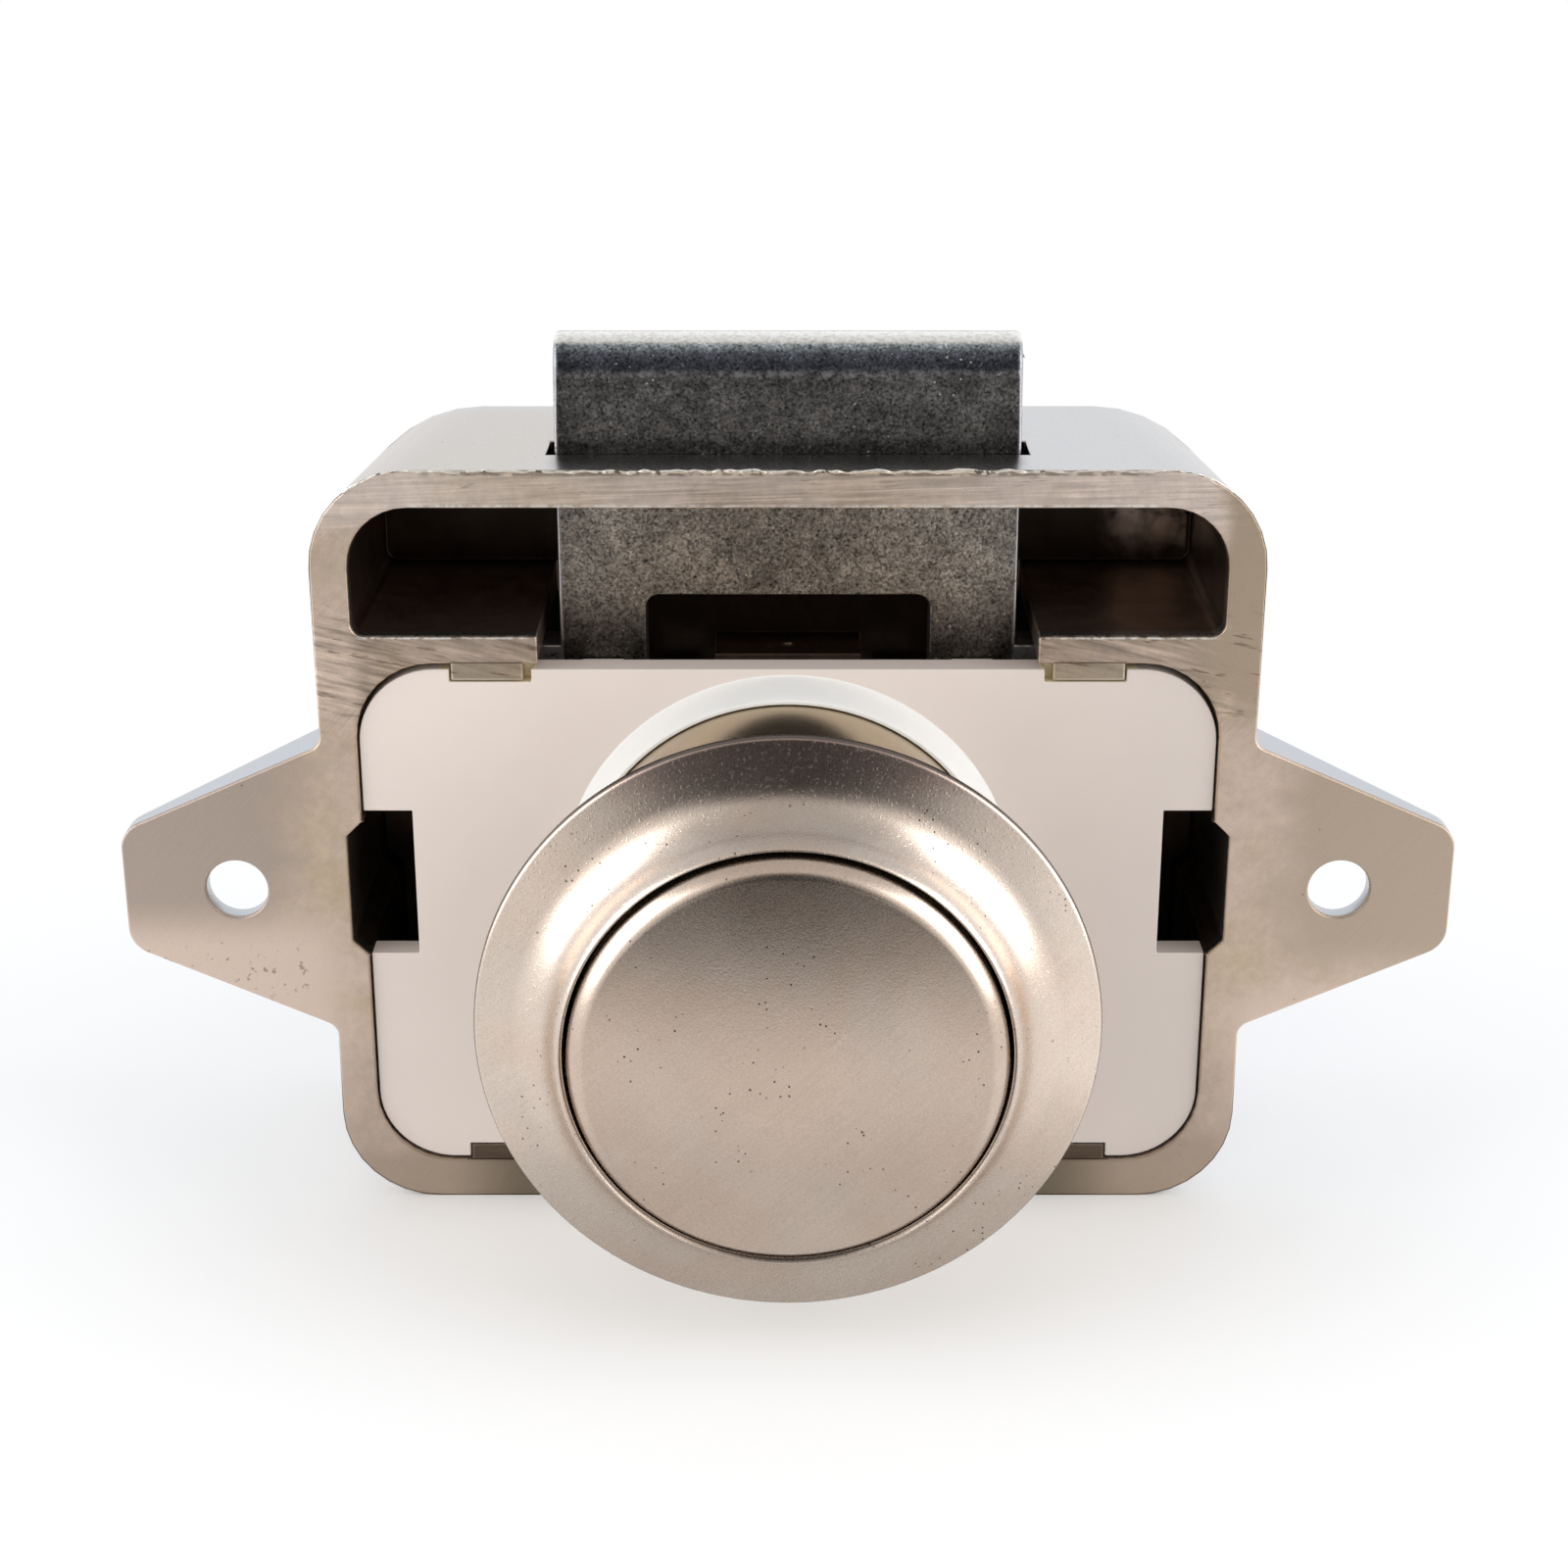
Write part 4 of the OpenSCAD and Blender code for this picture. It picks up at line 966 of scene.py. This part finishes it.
class LOCK_OT_rosette(bpy.types.Operator):
    """Turn the rosette and its sleeve"""
    bl_idname = "lock.rosette"
    bl_label = "Rosette and sleeve"

    def execute(self, context):
        scene = context.scene
        finish = scene.lock_finish
        segments = scene.lock_shape.turn_segments
        low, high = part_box("rosette")
        rim, lip_y, back = high.x, low.y, high.y
        lip_out, lip_in, bore = 12.05 * MM, 11.5 * MM, 12.1 * MM
        lip_under, brim = lip_y + 1.5 * MM, back - 0.55 * MM
        slope = math.radians(15)
        cove_r = ((brim - lip_y) - (rim - lip_out) * math.tan(slope)) / (
            math.cos(slope) - (1 - math.sin(slope)) * math.tan(slope))
        cove = arc((lip_out + cove_r, lip_y), cove_r, 162, 90 + math.degrees(slope), 28)
        section = rounded_section([
            (bore, lip_under, 0), (lip_in, lip_under, 0), (lip_in, lip_y, 0.12 * MM)], 4)
        section += bend((lip_out - 0.4 * MM, lip_y), (lip_out - 0.175 * MM, lip_y), cove[0], 10)[:-1]
        section += cove
        section += rounded_section([(*section[-1], 0), (rim, brim, 0.30 * MM),
                                    (rim, back, 0.15 * MM), (bore, back, 0.1 * MM)], 6)[1:]
        nickel = satin_nickel("rosette_satin_nickel", finish.rosette_colour,
                              finish.satin - 0.02, rim / MM)
        ring = turned("rosette_ring", section, nickel, segments)
        settle(ring, BODY_OF_CASE, "rosette_nickel", "rosette")
        low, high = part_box("rosette_sleeve")
        inner, soft = high.x - 0.6 * MM, 0.15 * MM
        sleeve = turned("sleeve_tube", rounded_section([
            (inner, low.y, soft), (high.x, low.y, soft), (high.x, high.y, soft), (inner, high.y, soft)], 4),
            sleeve_finish(finish), segments)
        settle(sleeve, BODY_OF_CASE, "sleeve_nickel", "rosette_sleeve")
        return {"FINISHED"}


def coil_path(turns, radius, free, wire):
    """Middle line of a coil spring along +Z from 0 to its length; the end turns rise less."""
    end_turn = wire + 0.45 * MM
    rise = (free - wire - 2 * end_turn) / (turns - 2)
    steps = 48
    points = []
    for i in range(turns * steps + 1):
        t = i / steps
        if t < 1:
            z = end_turn * t
        elif t > turns - 1:
            z = free - wire - end_turn * (turns - t)
        else:
            z = end_turn + rise * (t - 1)
        a = 2 * math.pi * t
        points.append(Vector((radius * math.cos(a), radius * math.sin(a), wire / 2 + z)))
    return points


class LOCK_OT_springs(bpy.types.Operator):
    """Wind the button spring and the two bolt springs, and dress the follower"""
    bl_idname = "lock.springs"
    bl_label = "Springs and follower"

    def execute(self, context):
        shape = context.scene.lock_shape
        material = drawn_wire(context.scene.lock_finish)
        self.wind_button_spring(material, shape.wire_segments)
        self.wind_bolt_spring("left", material, shape.wire_segments)
        self.wind_bolt_spring("right", material, shape.wire_segments)
        follower = softened_copy("cam_follower", "follower_wire", material, shape.follower_edge)
        settle(follower, BODY_OF_CASE, "spring_steel", "cam_follower")
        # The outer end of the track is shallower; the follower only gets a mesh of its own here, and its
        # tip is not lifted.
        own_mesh(follower)
        return {"FINISHED"}

    def wind_button_spring(self, material, segments):
        """The spring behind the button stretches between the case and the button."""
        wire = 0.8 * MM
        low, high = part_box("button_spring")
        path = coil_path(7, high.x - wire / 2, high.y - low.y, wire)
        path = [Vector((p.x, high.y - p.z, p.y)) for p in path]
        spring = tube("button_coil", path, [wire / 2] * len(path), material, segments)
        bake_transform(spring)
        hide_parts("button_spring")

    def wind_bolt_spring(self, side, material, segments):
        """A spring under one of the bolt's wings, which the bolt presses together."""
        wire = 0.5 * MM
        node = "bolt_spring_" + side
        low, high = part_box(node)
        centre = (low + high) / 2
        path = coil_path(12, (high.x - low.x - wire) / 2, high.z - low.z, wire)
        path = [Vector((centre.x + p.x, centre.y + p.y, low.z + p.z)) for p in path]
        spring = tube("bolt_coil_" + side, path, [wire / 2] * len(path), material, segments)
        settle(spring, BODY_OF_CASE, "spring_steel", node)
        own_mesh(spring)


def area_lamp(name, place, target, size, radiance, shade=(1.0, 1.0, 1.0)):
    """A soft box at a place, turned to a target; radiance 1 is plain white."""
    lamp = bpy.data.lights.new(name, "AREA")
    lamp.shape = "RECTANGLE"
    lamp.size, lamp.size_y = size
    lamp.energy = radiance * math.pi * size[0] * size[1]
    lamp.color = shade
    holder = bpy.data.objects.new(name, lamp)
    holder.location = place
    holder.rotation_euler = (Vector(target) - Vector(place)).to_track_quat("-Z", "Y").to_euler()
    holder.visible_camera = False
    bpy.context.scene.collection.objects.link(holder)


def stage_card(name, low, high, material):
    """A flat card between two corners, either level or upright."""
    mesh = bpy.data.meshes.new(name)
    mesh.from_pydata([low, (high[0], low[1], low[2]), high, (low[0], high[1], high[2])], [], [(0, 1, 2, 3)])
    card = new_object(name, mesh, material)
    return card


def dark_flag(name, low, high, mask):
    """A card that only glossy rays see, dark where its mask is 1 and clear elsewhere."""
    material, n, surface = bare_material(name)
    clear = n.add("ShaderNodeBsdfTransparent")
    dark = n.add("ShaderNodeEmission", {"Color": (1.0, 0.93, 0.9), "Strength": 0.02})
    both = n.add("ShaderNodeMixShader", {0: mask(n), 1: clear.outputs[0], 2: dark.outputs[0]})
    n.put(surface, both.outputs[0])
    card = stage_card(name, low, high, material)
    for kind in ("camera", "diffuse", "transmission", "volume_scatter", "shadow"):
        setattr(card, "visible_" + kind, False)


class LOCK_OT_stage(bpy.types.Operator):
    """Set up the camera, the pale floor and the soft studio light"""
    bl_idname = "lock.stage"
    bl_label = "Camera, lamps and floor"

    def execute(self, context):
        studio = context.scene.lock_studio
        self.add_camera(studio)
        self.add_floor(studio)
        self.add_world()
        self.add_flags()
        area_lamp("soft_box_left", (-0.42, -0.16, 0.14), (0, 0, 0), (0.42, 0.42), 2.4)
        area_lamp("soft_box_right", (0.42, -0.16, 0.14), (0, 0, 0), (0.42, 0.42), 2.6)
        return {"FINISHED"}

    def add_flags(self):
        """Black flags in front, which only reflections show, as round a photographed metal piece."""
        level = CAD_BOX[0].z + 0.4 * MM

        def lying(n):
            x, y, _ = n.axes()
            aside = n.size(x)
            far = n.all_of(n.fall(y, -118.0, -66.0), n.fall(aside, 30.0, 80.0))
            near = n.all_of(n.ramp(y, -65.0, -40.0), n.ramp(aside, 18.0, 32.0, 0.28, 0.0))
            return n.most(far, near)

        def standing(n):
            x, _, z = n.axes()
            return n.all_of(n.fall(n.size(x), 160.0, 340.0), n.fall(z, 440.0, 720.0))

        dark_flag("flag_lying", (-0.09, -0.60, level), (0.09, -0.006, level), lying)
        dark_flag("flag_standing", (-0.38, -0.62, level), (0.38, -0.62, 0.74), standing)

    def add_camera(self, studio):
        camera = bpy.data.cameras.new("photo_camera")
        camera.sensor_fit = "HORIZONTAL"
        camera.sensor_width = 36.0
        camera.lens = studio.camera_lens
        camera.shift_x = studio.camera_shift
        camera.clip_start = 0.005
        camera.clip_end = 20.0
        holder = bpy.data.objects.new("photo_camera", camera)
        holder.location = studio.camera_place
        holder.rotation_euler = (studio.camera_tilt, 0.0, 0.0)
        bpy.context.scene.collection.objects.link(holder)
        bpy.context.scene.camera = holder

    def add_floor(self, studio):
        """A pale floor that takes shadows near the lock and is plain white further away."""
        half, level = studio.floor_half, CAD_BOX[0].z
        material, n, surface = bare_material("pale_floor")
        x, y, _ = n.axes()
        diffuse = n.add("ShaderNodeBsdfDiffuse", {"Color": studio.floor_colour})
        white = n.add("ShaderNodeEmission", {"Color": (1.0, 1.0, 1.0), "Strength": 1.0})
        path = n.add("ShaderNodeLightPath")
        seen = n.most(path.outputs["Is Camera Ray"], path.outputs["Is Glossy Ray"])
        far = n.ramp(n.away(n.times(x, 0.55), n.minus(y, 12.0)), 22.0, 55.0)
        both = n.add("ShaderNodeMixShader", {0: n.times(seen, far), 1: diffuse.outputs[0],
                                             2: white.outputs[0]})
        n.put(surface, both.outputs[0])
        stage_card("pale_floor", (-half, -half, level), (half, half, level), material)

    def add_world(self):
        """A bright sky all round, dimmer overhead and a little cooler behind the lock."""
        world = bpy.data.worlds.new("studio_world")
        bpy.context.scene.world = world
        world.use_nodes = True
        tree = world.node_tree
        tree.nodes.clear()
        n = Nodes(tree)
        out = n.add("ShaderNodeOutputWorld")
        ray = n.add("ShaderNodeTexCoord").outputs["Generated"]
        axes = n.add("ShaderNodeSeparateXYZ", {0: ray})
        back = n.ramp(axes.outputs[1], -0.3, 0.5)
        shade = n.mix(back, (1.0, 0.975, 0.95), (0.97, 1.0, 1.04))
        strength = n.ramp(axes.outputs[2], 0.45, 0.95, 1.0, 0.64)
        background = n.add("ShaderNodeBackground", {"Color": shade, "Strength": strength})
        tree.links.new(background.outputs[0], out.inputs[0])


class LOCK_PT_panel(bpy.types.Panel):
    """Buttons and settings for the lock"""
    bl_label = "Cabinet lock"
    bl_idname = "LOCK_PT_panel"
    bl_space_type = "VIEW_3D"
    bl_region_type = "UI"
    bl_category = "Lock"

    def draw(self, context):
        layout = self.layout
        for operator in OPERATORS:
            layout.operator(operator.bl_idname)
        for settings in (context.scene.lock_shape, context.scene.lock_finish, context.scene.lock_studio):
            box = layout.box()
            for name in settings.bl_rna.properties.keys():
                if name not in ("rna_type", "name"):
                    box.prop(settings, name)


SETTINGS = {"lock_shape": LockShapeSettings, "lock_finish": LockFinishSettings,
            "lock_studio": LockStudioSettings}
OPERATORS = [LOCK_OT_case, LOCK_OT_plate, LOCK_OT_bolt, LOCK_OT_button, LOCK_OT_rosette,
             LOCK_OT_springs, LOCK_OT_stage]


def register():
    for name, settings in SETTINGS.items():
        bpy.utils.register_class(settings)
        setattr(bpy.types.Scene, name, PointerProperty(type=settings))
    for each in [*OPERATORS, LOCK_PT_panel]:
        bpy.utils.register_class(each)


def unregister():
    for each in reversed([*OPERATORS, LOCK_PT_panel]):
        bpy.utils.unregister_class(each)
    for name, settings in SETTINGS.items():
        delattr(bpy.types.Scene, name)
        bpy.utils.unregister_class(settings)


def main():
    register()
    bpy.context.scene.view_settings.view_transform = "Standard"
    bpy.ops.lock.case()
    bpy.ops.lock.plate()
    bpy.ops.lock.bolt()
    bpy.ops.lock.button()
    bpy.ops.lock.rosette()
    bpy.ops.lock.springs()
    bpy.ops.lock.stage()


if __name__ == "__main__":
    main()
